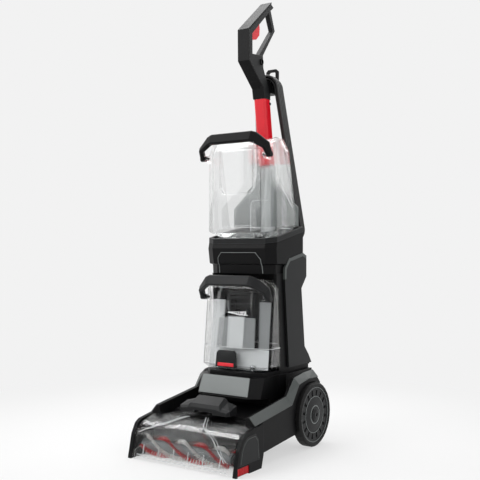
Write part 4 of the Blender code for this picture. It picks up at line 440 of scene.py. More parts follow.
def spread_tree():
    """Stands a unit on every point of a mesh, turned by the point's own attribute."""
    tree = bpy.data.node_groups.new("spread_units", "GeometryNodeTree")
    tree.interface.new_socket("Geometry", in_out="INPUT", socket_type="NodeSocketGeometry")
    for name, kind in (("Unit", "Object"), ("Size", "Float"), ("Size drift", "Float"),
                       ("Twist", "Float"), ("Seed", "Int"), ("Finish", "Material")):
        tree.interface.new_socket(name, in_out="INPUT", socket_type="NodeSocket" + kind)
    tree.interface.new_socket("Geometry", in_out="OUTPUT", socket_type="NodeSocketGeometry")
    entry = add(tree, "NodeGroupInput").outputs
    unit = add(tree, "GeometryNodeObjectInfo", {"Object": entry["Unit"]})
    way = add(tree, "GeometryNodeInputNamedAttribute", {"Name": "turn"}, data_type="FLOAT_VECTOR")
    less = add(tree, "ShaderNodeMath", {
        0: entry["Size"], 1: entry["Size drift"]}, operation="SUBTRACT")
    size = add(tree, "FunctionNodeRandomValue", {
        "Min": less.outputs[0], "Max": entry["Size"], "Seed": entry["Seed"]})
    twist = add(tree, "FunctionNodeRandomValue", {"Max": entry["Twist"], "Seed": entry["Seed"]})
    own = add(tree, "ShaderNodeCombineXYZ", {"Z": twist.outputs["Value"]})
    points = add(tree, "GeometryNodeMeshToPoints", {"Mesh": entry["Geometry"]})
    copies = add(tree, "GeometryNodeInstanceOnPoints", {
        "Points": points.outputs["Points"], "Instance": unit.outputs["Geometry"],
        "Rotation": way.outputs["Attribute"], "Scale": size.outputs["Value"]})
    spun = add(tree, "GeometryNodeRotateInstances", {
        "Instances": copies.outputs["Instances"], "Rotation": own.outputs["Vector"]})
    real = add(tree, "GeometryNodeRealizeInstances", {"Geometry": spun.outputs["Instances"]})
    paint = add(tree, "GeometryNodeSetMaterial", {
        "Geometry": real.outputs["Geometry"], "Material": entry["Finish"]})
    add(tree, "NodeGroupOutput", {"Geometry": paint.outputs["Geometry"]})
    return tree


def spread(name, unit, feet, finish, size=1.0, drift=0.0, twist=0.0, seed=0):
    """Copies of a unit, which stands on the origin along +Z, on each (point, direction)."""
    mesh = bpy.data.meshes.new(name)
    mesh.from_pydata([foot for foot, _ in feet], [], [])
    turn = mesh.attributes.new("turn", "FLOAT_VECTOR", "POINT")
    for i, (_, way) in enumerate(feet):
        turn.data[i].vector = way.to_track_quat("Z", "Y").to_euler()
    holder = bpy.data.objects.new(name + "_feet", mesh)
    for used in (holder, unit):
        if used.name not in bpy.context.scene.objects:
            bpy.context.scene.collection.objects.link(used)
    step = holder.modifiers.new("Spread", "NODES")
    step.node_group = bpy.data.node_groups.get("spread_units") or spread_tree()
    given = {"Unit": unit, "Size": size, "Size drift": drift, "Twist": twist, "Seed": seed,
             "Finish": FINISHES[finish]}
    for item in step.node_group.interface.items_tree:
        if item.item_type == "SOCKET" and item.name in given:
            step[item.identifier] = given[item.name]
    made = bpy.data.objects.new(name, applied(holder, step))
    for used in (holder, unit):
        bpy.data.objects.remove(used)
    return made


# ---------------------------------------------------------------- finishes on the frame

class CLEANER_OT_finishes(bpy.types.Operator):
    """Give every node of the frame the finish of its slot"""

    bl_idname = "cleaner.finishes"
    bl_label = "Finishes"

    def execute(self, context):
        FINISHES.update(make_finishes(context.scene.cleaner_colours))
        for part in frame["record"]["subparts"]:
            for holder in frame["nodes"][part["node"]].material_slots:
                holder.material = FINISHES[part["material_slot"]]
        for node, finish in OWN_FINISHES.items():
            for holder in frame["nodes"][node].material_slots:
                holder.material = FINISHES[finish]
        return {"FINISHED"}


# ---------------------------------------------------------------- bristles

BRUSH_AXIS = Vector((0.0, -0.1855, 0.0258))
BRUSH_CORE_RADIUS = 0.0140
BRUSH_TIP_RADIUS = 0.0245
ROW_PITCH = 0.212
ROW_LOW, ROW_HIGH = -0.1300, 0.1140
ROWS = (
    ("bristles_red_1", 0.587, "red_nylon"), ("bristles_red_2", 0.087, "red_nylon"),
    ("bristles_white_1", 0.335, "white_nylon"), ("bristles_white_2", 0.835, "white_nylon"),
)
TUFTS = 42
STRANDS = 30
TUFT_WIDTH = 0.0046
EDGE_TUFT_WIDTH, EDGE_TUFT_PITCH = 0.0026, 0.0030
TUFT_TWIST = 6.28


def tuft(length, spread_width, strands, thickness, rng):
    """Bristles that stand on the origin along +Z and lean apart a little."""
    shape = bmesh.new()
    for _ in range(strands):
        turn, out = rng.uniform(0, 2 * math.pi), math.sqrt(rng.random())
        foot = Vector((math.cos(turn), math.sin(turn), 0.0)) * out * spread_width * 0.5
        lean = foot * 0.7 + Vector((rng.gauss(0, 1), rng.gauss(0, 1), 0)) * spread_width * 0.12
        tall = length * rng.uniform(0.93, 1.0)
        rows = []
        for share, width in ((0.0, 1.0), (0.55, 0.95), (1.0, 0.7)):
            middle = foot + lean * share ** 1.5 + Vector((0.0, 0.0, tall * share))
            rows.append([
                shape.verts.new(
                    middle + Vector((math.cos(a), math.sin(a), 0.0)) * thickness / 2 * width)
                for a in (0.3, 2.4, 4.5)])
        for low, high in zip(rows, rows[1:]):
            for i in range(3):
                j = (i + 1) % 3
                shape.faces.new((low[i], low[j], high[j], high[i]))
        shape.faces.new(rows[-1])
        shape.faces.new(rows[0][::-1])
    return finished("tuft", shape)


class CLEANER_OT_bristles(bpy.types.Operator):
    """Make the roll's spiral rows and the two edge brushes from tufts of single strands"""

    bl_idname = "cleaner.bristles"
    bl_label = "Bristles"

    def execute(self, context):
        sizes = context.scene.cleaner_sizes
        rng = random.Random(sizes.seed)
        length = BRUSH_TIP_RADIUS - BRUSH_CORE_RADIUS - 0.0004
        for name, start, slot in ROWS:
            feet = []
            for i in range(TUFTS):
                x = ROW_LOW + (ROW_HIGH - ROW_LOW) * (i + 0.5) / TUFTS
                turn = 2 * math.pi * (start + x / ROW_PITCH)
                out = Vector((0.0, math.cos(turn), math.sin(turn)))
                foot = BRUSH_AXIS + Vector((x, 0.0, 0.0)) + out * (BRUSH_CORE_RADIUS + 0.0002)
                feet.append((foot, out))
            unit = tuft(length, TUFT_WIDTH, STRANDS, sizes.strand_diameter, rng)
            made = spread(name + "_strands", unit, feet, slot, drift=0.05, twist=TUFT_TWIST,
                          seed=sizes.seed)
            registered(made, "brush_roll", slot)
            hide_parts(name)
        for node in ("edge_brush_left", "edge_brush_right"):
            low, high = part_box(node)
            middle, down = (low.x + high.x) / 2, Vector((0, 0, -1))
            count = round((high.y - low.y) / EDGE_TUFT_PITCH)
            feet = [
                (Vector((middle, low.y + (high.y - low.y) * (i + 0.5) / count, high.z)), down)
                for i in range(count)]
            tall = high.z - low.z - 0.0002
            unit = tuft(tall, EDGE_TUFT_WIDTH, STRANDS, sizes.strand_diameter, rng)
            made = spread(node + "_strands", unit, feet, "red_nylon", drift=0.04,
                          twist=TUFT_TWIST, seed=sizes.seed)
            registered(made, "foot", "red_nylon")
            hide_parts(node)
        return {"FINISHED"}


# ---------------------------------------------------------------- cord

HANK_TOP = Vector((0.0, 0.1400, 0.8850))
HANK_BOTTOM_Z = 0.5300
HANK_BOTTOM_Y = 0.2030
HANK_BOTTOM_HALF = 0.0280
HANK_BEND_RADIUS = 0.0255
TURNS_PER_LAYER = 3
TURN_POINTS = 60
RELIEF_TIP = Vector((-0.0400, 0.1780, 0.5706))
HANK_START_Z = 0.6600
HANK_END_Z = 0.6000
TAIL_TURN = Vector((0.0600, 0.1850, 0.5150))
PLUG_TOP = Vector((0.0500, 0.1880, 0.4700))


def eased(start, start_way, end, end_way, steps):
    """Points on a smooth line between two places, leaving and arriving in given directions."""
    pull = (end - start).length
    points = []
    for i in range(steps + 1):
        t = i / steps
        points.append(
            start * (2 * t**3 - 3 * t**2 + 1) + start_way * pull * (t**3 - 2 * t**2 + t)
            + end * (3 * t**2 - 2 * t**3) + end_way * pull * (t**3 - t**2))
    return points


def hank_point(x, z, sideways):
    """A point in the hank's plane, which leans back, and off it by sideways."""
    lean = (HANK_BOTTOM_Y - HANK_TOP.y) / (HANK_TOP.z - HANK_BOTTOM_Z)
    return Vector((x, HANK_TOP.y + (HANK_TOP.z - z) * lean + sideways, z))


def loop_point(step, pitch):
    """A point of the wound loops, and whether it lies on the upper bend.

    A layer is laid towards the rear, the strand climbs for half a turn, and a layer is laid back.
    """
    centres = [(0.0, HANK_TOP.z), (HANK_BOTTOM_HALF, HANK_BOTTOM_Z),
               (-HANK_BOTTOM_HALF, HANK_BOTTOM_Z)]
    half_width = pitch * TURNS_PER_LAYER / 2
    turns = (step + 0.5) / TURN_POINTS
    climb = min(max((turns - TURNS_PER_LAYER) / 0.5, 0.0), 1.0)
    if turns <= TURNS_PER_LAYER:
        sideways = -half_width + pitch * turns
    else:
        back = max(turns - TURNS_PER_LAYER - 0.5, 0.0)
        sideways = half_width - pitch * back + pitch * 0.25 * math.sin(math.pi * climb)
    angle = math.pi - 2 * math.pi * turns
    ahead = (math.cos(angle), math.sin(angle))
    x, z = max(centres, key=lambda c: ahead[0] * c[0] + ahead[1] * c[1])
    radius = HANK_BEND_RADIUS + pitch * climb
    return hank_point(x + ahead[0] * radius, z + ahead[1] * radius, sideways), z == HANK_TOP.z


def cord_route(pitch, diameter):
    """The whole cord's centre-line, from the strain relief's tip to the plug."""
    last = round((2 * TURNS_PER_LAYER + 0.5) * TURN_POINTS)
    steps = list(range(-4, last + 4))
    made = {step: loop_point(step, pitch) for step in steps}
    first = next(step for step in steps if made[step][1])
    final = max(step for step in steps if made[step][1])
    loops = [made[step][0] for step in range(first, final + 1)]
    foot, below = made[first - 1][0], made[final + 1][0]
    up, down = (loops[0] - foot).normalized(), (below - loops[-1]).normalized()
    start = foot + up * ((HANK_START_Z - foot.z) / up.z)
    end = loops[-1] + down * ((HANK_END_Z - loops[-1].z) / down.z)
    straight = Vector((0.0, 0.0, diameter))
    lead = eased(RELIEF_TIP + straight, straight.normalized(), start - up * diameter, up, 8)
    drop = Vector((0.0, 0.0, -1.0))
    tail = eased(end, down, TAIL_TURN, drop, 8)
    tail += eased(TAIL_TURN, drop, PLUG_TOP + straight, drop, 6)[1:]
    return [RELIEF_TIP, *lead, start, *loops, *tail, PLUG_TOP]


class CLEANER_OT_cord(bpy.types.Operator):
    """Lay the cord as one line: its lead, the hank on its hooks, and the tail to the plug"""

    bl_idname = "cleaner.cord"
    bl_label = "Cord"

    def execute(self, context):
        sizes = context.scene.cleaner_sizes
        route = cord_route(sizes.cord_pitch, sizes.cord_diameter)
        curve = bpy.data.curves.new("power_cord", "CURVE")
        curve.dimensions = "3D"
        curve.bevel_depth = sizes.cord_diameter / 2
        curve.bevel_resolution = 4
        curve.use_fill_caps = True
        line = curve.splines.new("POLY")
        line.points.add(len(route) - 1)
        for point, place in zip(line.points, route):
            point.co = (*place, 1.0)
        made = registered(bpy.data.objects.new("power_cord", curve), "upright", "cord_pvc")
        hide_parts("cord_lead", "cord_hank")
        return {"FINISHED"}


# ---------------------------------------------------------------- tanks

WALL = 0.0024
TANK_LOW, TANK_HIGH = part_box("dirty_tank")
TANK_FOOT_Z, TANK_TOP_Z = TANK_LOW.z, TANK_HIGH.z
TANK_HALF = TANK_HIGH.x
TANK_REAR_HALF = 0.0846
TANK_REAR_Y = TANK_HIGH.y
TANK_FRONT_FOOT_Y, TANK_FRONT_TOP_Y = -0.0280, -0.0085
TANK_SHOULDER_FOOT_Y, TANK_SHOULDER_TOP_Y = 0.0371, 0.0241
TANK_SHOULDER_TOP_Z = 0.4177
TANK_CHAMFER = 0.0100
BAIL_PIVOT = (-0.0090, 0.3600)
EAR_INNER_X, EAR_OUTER_X = 0.0780, 0.0885
POCKET_HALF = 0.0500
POCKET_FOOT_Z = 0.3140
POCKET_DEPTH = 0.0100
POCKET_TAPER = 1.25
FILL_LINE_Z = 0.2420
# Outlines and lines are (x, z), and WATER_SIDE_LINES are (y, z). The cage's two outlines are
# given by their right lower corners, which are mirrored.
CAGE_OUTER = [(0.031, 0.303), (0.037, 0.312)]
CAGE_INNER = [(0.023, 0.316), (0.028, 0.322)]
CAGE_BARS_Z = (0.3400, 0.3560)
TAB = [(-0.0470, 0.1935), (0.0130, 0.1935), (0.0100, 0.2270), (0.0040, 0.2335),
       (-0.0400, 0.2335), (-0.0455, 0.2270)]
TAB_STRIP = [(-0.0400, 0.1960), (0.0065, 0.1960), (0.0060, 0.2040), (-0.0395, 0.2040)]
DRAIN_KNOB_AT = Vector((0.0500, -0.0094, TANK_FOOT_Z + WALL))
DRAIN_KNOB = [
    (0.0, 0.0050), (0.0030, 0.0052), (0.0042, 0.0044), (0.0060, 0.0062), (0.0085, 0.0070),
    (0.0112, 0.0058), (0.0130, 0.0030), (0.0135, 0.0004)]
WATER_FRONT_LINES = (
    [(0.0437, 0.5180), (0.0437, 0.5820), (0.0470, 0.5890), (0.0540, 0.5925), (0.0830, 0.5925)],
    [(-0.0300, 0.5330), (0.0430, 0.5330)],
    [(0.0520, 0.5270), (0.0960, 0.5270)],
)
WATER_SIDE_LINES = (
    [(0.0281, 0.6420), (0.0400, 0.6230), (0.0697, 0.6000), (0.0900, 0.5780)],
    [(0.0281, 0.5270), (0.0900, 0.5270)],
)


def tank_front(z):
    """Where the recovery tank's raked front lies at a height."""
    share = (z - TANK_FOOT_Z) / (TANK_TOP_Z - TANK_FOOT_Z)
    return TANK_FRONT_FOOT_Y + (TANK_FRONT_TOP_Y - TANK_FRONT_FOOT_Y) * share


def tank_ring(z, shrink=0.0, level=None):
    """The recovery tank's plan at a height: a faceted front, sides, and the part in its bay."""
    front, half = tank_front(z) + shrink, TANK_HALF - shrink
    share = (z - TANK_FOOT_Z) / (TANK_SHOULDER_TOP_Z - TANK_FOOT_Z)
    shoulder = TANK_SHOULDER_FOOT_Y + (TANK_SHOULDER_TOP_Y - TANK_SHOULDER_FOOT_Y) * share - shrink
    right = [
        (half * 0.24, front), (half * 0.58, front + 0.0035), (half * 0.87, front + 0.0095),
        (half, front + 0.021), (half, shoulder), (TANK_REAR_HALF - shrink, shoulder + 0.001),
        (TANK_REAR_HALF - shrink, TANK_REAR_Y - shrink)]
    plan = right + [(-x, y) for x, y in reversed(right)]
    return [Vector((x, y, z if level is None else level)) for x, y in plan]


def finger_pocket(grow):
    """The pocket below the bail, whose walls draw in towards its back."""
    rings = []
    for depth in (-0.006, POCKET_DEPTH + grow):
        inward = POCKET_TAPER * depth - grow
        half, low, corner = POCKET_HALF - inward, POCKET_FOOT_Z + inward, 0.012
        rings.append([Vector((x, tank_front(z) + depth, z)) for x, z in (
            (-half, TANK_TOP_Z + 0.02), (-half, low + corner), (corner - half, low),
            (half - corner, low), (half, low + corner), (half, TANK_TOP_Z + 0.02))])
    return lofted("pocket", rings)


def recovery_shell():
    """The clear recovery tank with its pocket and the ears of its bail."""
    foot, floor = TANK_FOOT_Z, TANK_FOOT_Z + WALL
    shell = lofted("recovery_shell", [
        tank_ring(foot, TANK_CHAMFER), tank_ring(foot + TANK_CHAMFER), tank_ring(TANK_TOP_Z)])
    shell = carved(shell, finger_pocket(0.0))
    hollow = lofted("hollow", [
        tank_ring(foot, TANK_CHAMFER + WALL, floor),
        tank_ring(foot + TANK_CHAMFER, WALL, floor + TANK_CHAMFER),
        tank_ring(TANK_TOP_Z, WALL, TANK_TOP_Z + 0.01)])
    shell = carved(shell, carved(hollow, finger_pocket(WALL)))
    parts = [shell]
    pivot_y, pivot_z = BAIL_PIVOT
    for side in (-1, 1):
        outline = [(0.011, -0.008), (0.011, 0.006)] + [
            (0.0070 * math.cos(a), 0.0070 * math.sin(a)) for a in (1.57, 2.36, 3.14, 3.93, 4.71)]
        corners = [Vector((side * EAR_INNER_X, pivot_y + y, pivot_z + z)) for y, z in outline]
        parts.append(slab("ear", corners, Vector((side * (EAR_OUTER_X - EAR_INNER_X), 0.0, 0.0))))
    return joined("recovery_shell", parts)


def inlet_cage():
    """The dark inlet frame behind the pocket, with its bars and the riser to the lid."""
    top = TANK_TOP_Z - 0.002
    front = tank_front(top) + POCKET_DEPTH + WALL + 0.004
    outer = CAGE_OUTER + [(CAGE_OUTER[-1][0], top)]
    outer = [(-x, z) for x, z in reversed(outer)] + outer
    frame_piece = slab("cage", [Vector((x, front, z)) for x, z in outer], Vector((0.0, 0.026, 0.0)))
    inner = CAGE_INNER + [(CAGE_INNER[-1][0], top - 0.006)]
    inner = [(-x, z) for x, z in reversed(inner)] + inner
    frame_piece = carved(frame_piece, slab(
        "window", [Vector((x, front - 0.01, z)) for x, z in inner], Vector((0.0, 0.05, 0.0))))
    bars = [
        block("bar", (-0.0285, front + 0.004, z), (0.0285, front + 0.010, z + 0.0055))
        for z in CAGE_BARS_Z]
    riser = block("riser", (-0.020, front + 0.020, 0.330), (0.020, front + 0.048, top))
    hanger = block(
        "hanger", (-0.012, front + 0.010, top - 0.001), (0.012, front + 0.024, top + 0.020))
    return softened(joined("inlet_cage", [frame_piece, *bars, riser, hanger]), 0.0008)


def painted_light_panel(name, low, high, depth):
    """A sheet of painted light behind the recovery tank's front, between two lines of (left x,
    right x, z).
    """
    corners = [
        Vector((x, tank_front(z) + depth, z))
        for x, z in ((low[0], low[2]), (low[1], low[2]), (high[1], high[2]), (high[0], high[2]))]
    return softened(slab(name, corners, Vector((0.0, 0.0018, 0.0))), 0.0004, 1)


# Painted light: the pale panels stand in for highlights and the grey ones for shade on the tank's
# front facets.
PANELS = (
    # finish, foot, head, behind the front
    ("milky_panel", (-0.0880, -0.0560, 0.196), (-0.0880, -0.0520, 0.352), 0.034),
    ("smoke_panel", (-0.0560, -0.0240, 0.238), (-0.0520, -0.0240, 0.310), 0.012),
    ("milky_panel", (-0.0240, 0.0220, 0.238), (-0.0240, 0.0220, 0.314), 0.010),
    ("smoke_panel", (0.0220, 0.0540, 0.238), (0.0220, 0.0520, 0.312), 0.012),
    ("smoke_panel", (0.0600, 0.0880, 0.238), (0.0560, 0.0880, 0.350), 0.022),
    ("milky_panel", (-0.0800, 0.0900, 0.192), (-0.0800, 0.0900, 0.238), 0.020),
)


class CLEANER_OT_tanks(bpy.types.Operator):
    """Build the recovery tank's shell and inlet, its panels of painted highlight and painted shade,
    and the tanks' moulded lines
    """

    bl_idname = "cleaner.tanks"
    bl_label = "Tanks"

    def execute(self, context):
        shell = registered(recovery_shell(), "recovery_tank", "smoked_polycarbonate")
        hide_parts("dirty_tank")
        cage = registered(inlet_cage(), "recovery_tank", "dark_grey_abs")
        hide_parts("float_stack")
        for kind in ("milky_panel", "smoke_panel"):
            parts = [painted_light_panel(kind, low, high, depth) for finish, low, high, depth in PANELS
                     if finish == kind]
            registered(joined("recovery_" + kind, parts), "recovery_tank",
                       "smoked_polycarbonate", kind)
        line = tank_ring(FILL_LINE_Z)
        centre = Vector((0.0, 0.04, FILL_LINE_Z))
        laid = [(point, (point - centre).normalized()) for point in line]
        # The fill line is a moulded bead; its pale colour is partly a painted highlight.
        registered(bead("fill_line", laid, 0.0012, 0.0006, closed=True), "recovery_tank",
                   "smoked_polycarbonate", "milky_panel")
        corners = [Vector((x, tank_front(z) - 0.0012, z)) for x, z in TAB]
        registered(softened(slab("plain_tab", corners, Vector((0.0, 0.0060, 0.0))), 0.0010),
                   "recovery_tank", "dark_grey_abs")
        corners = [Vector((x, tank_front(z) - 0.0020, z)) for x, z in TAB_STRIP]
        registered(softened(slab("tab_strip", corners, Vector((0.0, 0.0040, 0.0))), 0.0004),
                   "recovery_tank", "red_abs")
        knob = turned("drain_knob", DRAIN_KNOB, DRAIN_KNOB_AT, Vector((0, 0, 1)), 20)
        registered(softened(knob, 0.0003), "recovery_tank", "plated_steel")
        water = skin("clean_tank")
        lines = [from_front(water, path) for path in WATER_FRONT_LINES]
        lines += [from_side(water, path) for path in WATER_SIDE_LINES]
        parts = [bead("line", laid, 0.0012, 0.0006) for laid in lines]
        # The moulded lines are drawn pale: a painted highlight along them.
        registered(joined("water_tank_lines", parts), "water_tank",
                   "smoked_polycarbonate", "milky_panel")
        return {"FINISHED"}


# ---------------------------------------------------------------- nozzle

NOZZLE_RIBS = (-0.106, -0.062, -0.020, 0.020, 0.062, 0.106)
NOZZLE_RIB_Z = (0.0140, 0.0360)
LIP_HALF = 0.1260
LIP_LINES_Z = (0.0075, 0.0125)
FUNNEL_RAILS = (
    [(-0.0420, -0.1440), (-0.0720, -0.1860), (-0.1000, -0.2030), (-0.1300, -0.2100)],
    [(0.0120, -0.1440), (0.0330, -0.1830), (0.0680, -0.2030), (0.0980, -0.2160), (0.1150, -0.2220)],
)


class CLEANER_OT_nozzle(bpy.types.Operator):
    """Add the clear nozzle's funnel rails, ribs and notched lip"""

    bl_idname = "cleaner.nozzle"
    bl_label = "Nozzle"

    def execute(self, context):
        window = skin("nozzle_window")
        parts = []
        for path in FUNNEL_RAILS:
            parts.append(bead("rail", from_above(window, path), 0.0016, 0.0014))
            beside = [(x + 0.0060, y + 0.0010) for x, y in path]
            parts.append(bead("rail", from_above(window, beside), 0.0009, 0.0010))
        for x in NOZZLE_RIBS:
            laid = from_front(window, [(x, NOZZLE_RIB_Z[0]), (x, NOZZLE_RIB_Z[1])])
            parts.append(bead("rib", laid, 0.0016, 0.0014))
        stops = [-LIP_HALF, *NOZZLE_RIBS, LIP_HALF]
        for z in LIP_LINES_Z:
            for left, right in zip(stops, stops[1:]):
                path = [(left + 0.0020, z), (right - 0.0020, z)]
                parts.append(bead("lip", from_front(window, path), 0.0014, 0.0009))
        # The rails, ribs and lip are moulded; their pale colour is a painted highlight.
        registered(joined("nozzle_ribs", parts), "nozzle", "smoked_polycarbonate", "milky_panel")
        return {"FINISHED"}


# ---------------------------------------------------------------- housings

SHOULDER_Y = 0.1235
SHOULDER_HALF = 0.0960
SHOULDER_WALL = 0.0032
NECK_HALF = 0.0170
PLATE_LINE = [(-0.0600, 0.4190), (-0.0600, 0.4560), (-0.0500, 0.4690), (0.0500, 0.4690),
              (0.0640, 0.4520), (0.0660, 0.4190)]


class CLEANER_OT_housings(bpy.types.Operator):
    """Add the shoulder plate and the motor housing's plate line"""

    bl_idname = "cleaner.housings"
    bl_label = "Housings"

    def execute(self, context):
        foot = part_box("pod_rim")[1].z + 0.0003
        right = [(SHOULDER_HALF, foot), (SHOULDER_HALF, 0.5810), (0.0440, 0.6300), (0.0290, 0.6520),
                 (0.0215, 0.6800), (NECK_HALF + 0.0003, 0.6800), (NECK_HALF + 0.0003, foot)]
        parts = []
        for side in (-1, 1):
            corners = [Vector((side * x, SHOULDER_Y, z)) for x, z in right]
            plate = slab("shoulder", corners, Vector((0.0, SHOULDER_WALL, 0.0)))
            parts.append(softened(plate, 0.0006))
        registered(joined("shoulder_plate", parts), "upright", "grey_abs")
        line = from_front(skin("pod_shell"), PLATE_LINE)
        registered(bead("pod_plate_line", line, 0.0014, 0.0020), "upright", "grey_abs")
        return {"FINISHED"}


# ---------------------------------------------------------------- handle, foot and screws

CLIP_PLACE = (0.0811, 0.9436)
CLIP_RADIUS = 0.0055
CLIP_STRETCH = 1.3
PEG_PLACE = (0.1200, 0.8448)
PEG = [(-0.0004, 0.0036), (0.0008, 0.0036), (0.0013, 0.0030), (0.0015, 0.0012)]
WHEEL_RINGS = ((0.0212, 0.0022), (0.0437, 0.0012), (0.0653, 0.0014))  # radius, width
SPINE_SCREWS = [(x, z) for x in (-0.078, 0.078) for z in (0.255, 0.370)]
BASE_SCREWS = [(-0.075, 0.150), (0.075, 0.150)]
SOLE_SCREWS = [(x, y) for x in (-0.125, 0.0, 0.125) for y in (-0.100, -0.030)]


class CLEANER_OT_handle(bpy.types.Operator):
    """Add the handle's ring clip and the stem's pegs"""

    bl_idname = "cleaner.handle"
    bl_label = "Handle"

    def execute(self, context):
        side_wall = skin("handle_frame")
        ring = oval(CLIP_PLACE, CLIP_RADIUS, CLIP_RADIUS * CLIP_STRETCH, 16)
        laid = [landing(side_wall, Vector((1, y, z)), Vector((-1, 0, 0))) for y, z in ring]
        registered(bead("ring_clip", laid, 0.0022, 0.0026, closed=True), "upright", "black_abs")
        stem = skin("stem")
        pegs = []
        for side in (-1, 1):
            place, out = landing(stem, Vector((side, *PEG_PLACE)), Vector((-side, 0, 0)))
            pegs.append(turned("peg", PEG, place, out, 20))
        registered(joined("stem_pegs", pegs), "upright", "dark_grey_abs")
        return {"FINISHED"}


CHEEK_LINE = [(-0.1392, 0.0250), (-0.1435, 0.0640), (-0.1535, 0.0748), (-0.1818, 0.0730),
              (-0.1930, 0.0645), (-0.2020, 0.0505), (-0.2085, 0.0250)]


class CLEANER_OT_foot(bpy.types.Operator):
    """Add the cheeks' rim lines and the wheels' rings"""

    bl_idname = "cleaner.foot"
    bl_label = "Foot"

    def execute(self, context):
        for side, name in ((-1, "left"), (1, "right")):
            panel = skin("side_panel_" + name)
            line = bead("cheek_line_" + name, from_side(panel, CHEEK_LINE, side), 0.0011, 0.0004)
            registered(line, "foot", "dark_grey_abs", "shaded_grey_abs")
            disc = skin("wheel_disc_" + name)
            low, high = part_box("wheel_disc_" + name)
            middle = ((low.y + high.y) / 2, (low.z + high.z) / 2)
            parts = []
            for radius, width in WHEEL_RINGS:
                ring = oval(middle, radius, radius, 48)
                parts.append(bead("ring", from_side(disc, ring, side), width, 0.0009, closed=True))
            registered(joined("wheel_rings_" + name, parts), "wheel_" + name,
                       "dark_grey_abs", "grey_abs")
        return {"FINISHED"}


def screw_head(diameter):
    """A domed head with a cross recess, which stands on the origin along +Z."""
    r = diameter / 2
    head = turned("screw", [
        (-0.0006, r * 0.9), (0.0003, r), (0.0008, r * 0.92), (0.0012, r * 0.62), (0.0013, r * 0.2)],
        Vector(), Vector((0, 0, 1)), 20)
    for wide, tall in ((0.62, 0.13), (0.13, 0.62)):
        cutter = block("recess", (-r * wide, -r * tall, 0.0005), (r * wide, r * tall, 0.003))
        head = carved(head, cutter)
    return head


class CLEANER_OT_fasteners(bpy.types.Operator):
    """Spread the housing screws"""

    bl_idname = "cleaner.fasteners"
    bl_label = "Screws"

    def execute(self, context):
        sizes = context.scene.cleaner_sizes
        spine, sole, base = skin("spine"), skin("sole_plate"), skin("upright_base")
        rear, up = Vector((0, -1, 0)), Vector((0, 0, 1))
        feet = [landing(spine, Vector((x, 1.0, z)), rear) for x, z in SPINE_SCREWS]
        feet += [landing(base, Vector((x, 1.0, z)), rear) for x, z in BASE_SCREWS]
        made = spread("upright_screws", screw_head(sizes.screw_diameter), feet, "plated_steel")
        registered(made, "upright", "plated_steel")
        feet = [landing(sole, Vector((x, y, -1.0)), up) for x, y in SOLE_SCREWS]
        made = spread("sole_screws", screw_head(sizes.screw_diameter), feet, "plated_steel")
        registered(made, "foot", "plated_steel")
        return {"FINISHED"}


# ---------------------------------------------------------------- stage

CAMERA_AT = Vector((1.0688, -1.5690, 0.4750))
CAMERA_TURN = math.radians(34.1)
CAMERA_LENS = 58.875
CAMERA_RISE = 0.0208
BACKGROUND, FLOOR = "F2F2F2", "EBEBEB"
WORLD_STRENGTH = 0.50
FLOOR_HALF = 12.0
LAMPS = (
    # name, place, aim, side of the square, watts
    ("key_lamp", (-1.2, -2.2, 1.9), (0.0, 0.0, 0.5), 1.6, 34.0),
    ("side_lamp", (2.5, -0.4, 1.5), (0.0, 0.0, 0.5), 1.4, 14.0),
    ("top_lamp", (-1.2, 0.1, 2.5), (0.0, 0.0, 0.5), 2.0, 34.0),
    ("rear_lamp", (-0.3, 1.7, 2.3), (0.0, 0.0, 0.5), 2.2, 44.0),
)


def backdrop_share(tree):
    """1 for rays that should meet the plain background: the camera's, gloss and clear plastic."""
    rays = add(tree, "ShaderNodeLightPath").outputs
    two = add(tree, "ShaderNodeMath", {
        0: rays["Is Camera Ray"], 1: rays["Is Glossy Ray"]}, operation="MAXIMUM")
    return add(tree, "ShaderNodeMath", {
        0: two.outputs[0], 1: rays["Is Transmission Ray"]}, operation="MAXIMUM").outputs[0]


def studio_world():
    """Plain background, with a soft even light from all round."""
    made = bpy.data.worlds.new("studio")
    made.use_nodes = True
    tree = made.node_tree
    tree.nodes["Background"].inputs["Strength"].default_value = WORLD_STRENGTH
    plain = add(tree, "ShaderNodeBackground", {"Color": (*linear(BACKGROUND), 1.0)})
    pick = add(tree, "ShaderNodeMixShader", {
        "Fac": backdrop_share(tree), 1: tree.nodes["Background"].outputs[0], 2: plain.outputs[0]})
    tree.nodes["Background"].inputs["Color"].default_value = (1.0, 1.0, 1.0, 1.0)
    tree.links.new(pick.outputs[0], tree.nodes["World Output"].inputs["Surface"])
    return made


def floor_finish():
    """Plain pale floor: the background's own tone, with the machine's shadow kept round it."""
    made, tree, shader = new_finish("pale_floor", Roughness=0.95, Specular_IOR_Level=0.0)
    shader.inputs["Base Color"].default_value = (*linear(FLOOR), 1.0)
    plain = add(tree, "ShaderNodeEmission", {"Color": (*linear(BACKGROUND), 1.0)})
    place = add(tree, "ShaderNodeTexCoord").outputs["Object"]
    away = add(tree, "ShaderNodeVectorMath", {0: place}, operation="LENGTH")
    near = add(tree, "ShaderNodeMapRange", {
        "Value": away.outputs["Value"], "From Min": 0.25, "From Max": 1.1, "To Min": 0.62,
        "To Max": 1.0}, interpolation_type="SMOOTHSTEP")
    share = add(tree, "ShaderNodeMath", {
        0: backdrop_share(tree), 1: near.outputs["Result"]}, operation="MULTIPLY")
    mix = add(tree, "ShaderNodeMixShader", {
        "Fac": share.outputs[0], 1: shader.outputs[0], 2: plain.outputs[0]})
    tree.links.new(mix.outputs[0], tree.nodes["Material Output"].inputs["Surface"])
    return made


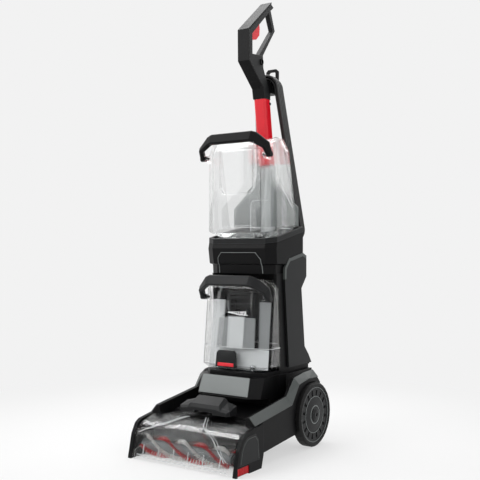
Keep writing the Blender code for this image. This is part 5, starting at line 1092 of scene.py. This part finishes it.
class CLEANER_OT_stage(bpy.types.Operator):
    """Set the pale floor, the soft lamps and the camera"""

    bl_idname = "cleaner.stage"
    bl_label = "Floor, light and camera"

    def execute(self, context):
        scene = context.scene
        scene.view_settings.view_transform = "Standard"
        scene.world = studio_world()
        ground = bmesh.new()
        bmesh.ops.create_grid(ground, x_segments=1, y_segments=1, size=FLOOR_HALF)
        floor = finished("floor", ground)
        scene.collection.objects.link(floor)
        floor.data.materials.append(floor_finish())
        for name, at, aim, size, power in LAMPS:
            lamp = bpy.data.lights.new(name, "AREA")
            lamp.shape = "SQUARE"
            lamp.size = size
            lamp.energy = power
            made = bpy.data.objects.new(name, lamp)
            made.location = at
            made.rotation_euler = (Vector(aim) - Vector(at)).to_track_quat("-Z", "Y").to_euler()
            scene.collection.objects.link(made)
        camera = bpy.data.cameras.new("camera")
        camera.lens = CAMERA_LENS
        camera.sensor_width = 36.0
        camera.shift_y = CAMERA_RISE
        made = bpy.data.objects.new("camera", camera)
        made.location = CAMERA_AT
        made.rotation_euler = (math.radians(90), 0.0, CAMERA_TURN)
        scene.collection.objects.link(made)
        scene.camera = made
        return {"FINISHED"}


class CLEANER_PT_panel(bpy.types.Panel):
    """Steps and settings of the carpet cleaner"""

    bl_idname = "CLEANER_PT_panel"
    bl_label = "Carpet cleaner"
    bl_space_type = "VIEW_3D"
    bl_region_type = "UI"
    bl_category = "Cleaner"

    def draw(self, context):
        column = self.layout.column()
        for name in STEPS:
            column.operator(f"cleaner.{name}")
        for group in (context.scene.cleaner_colours, context.scene.cleaner_sizes):
            for name in type(group).__annotations__:
                column.prop(group, name)


STEPS = ("stage", "finishes", "cord", "bristles", "tanks", "nozzle", "housings",
         "handle", "foot", "fasteners")
CLASSES = (
    CleanerColours, CleanerSizes, CLEANER_OT_stage, CLEANER_OT_finishes, CLEANER_OT_cord,
    CLEANER_OT_bristles, CLEANER_OT_tanks, CLEANER_OT_nozzle, CLEANER_OT_housings,
    CLEANER_OT_handle, CLEANER_OT_foot, CLEANER_OT_fasteners, CLEANER_PT_panel,
)


def register():
    for item in CLASSES:
        bpy.utils.register_class(item)
    bpy.types.Scene.cleaner_colours = bpy.props.PointerProperty(type=CleanerColours)
    bpy.types.Scene.cleaner_sizes = bpy.props.PointerProperty(type=CleanerSizes)


def unregister():
    del bpy.types.Scene.cleaner_colours
    del bpy.types.Scene.cleaner_sizes
    for item in reversed(CLASSES):
        bpy.utils.unregister_class(item)


def main():
    register()
    for name in STEPS:
        getattr(bpy.ops.cleaner, name)()


if __name__ == "__main__":
    main()
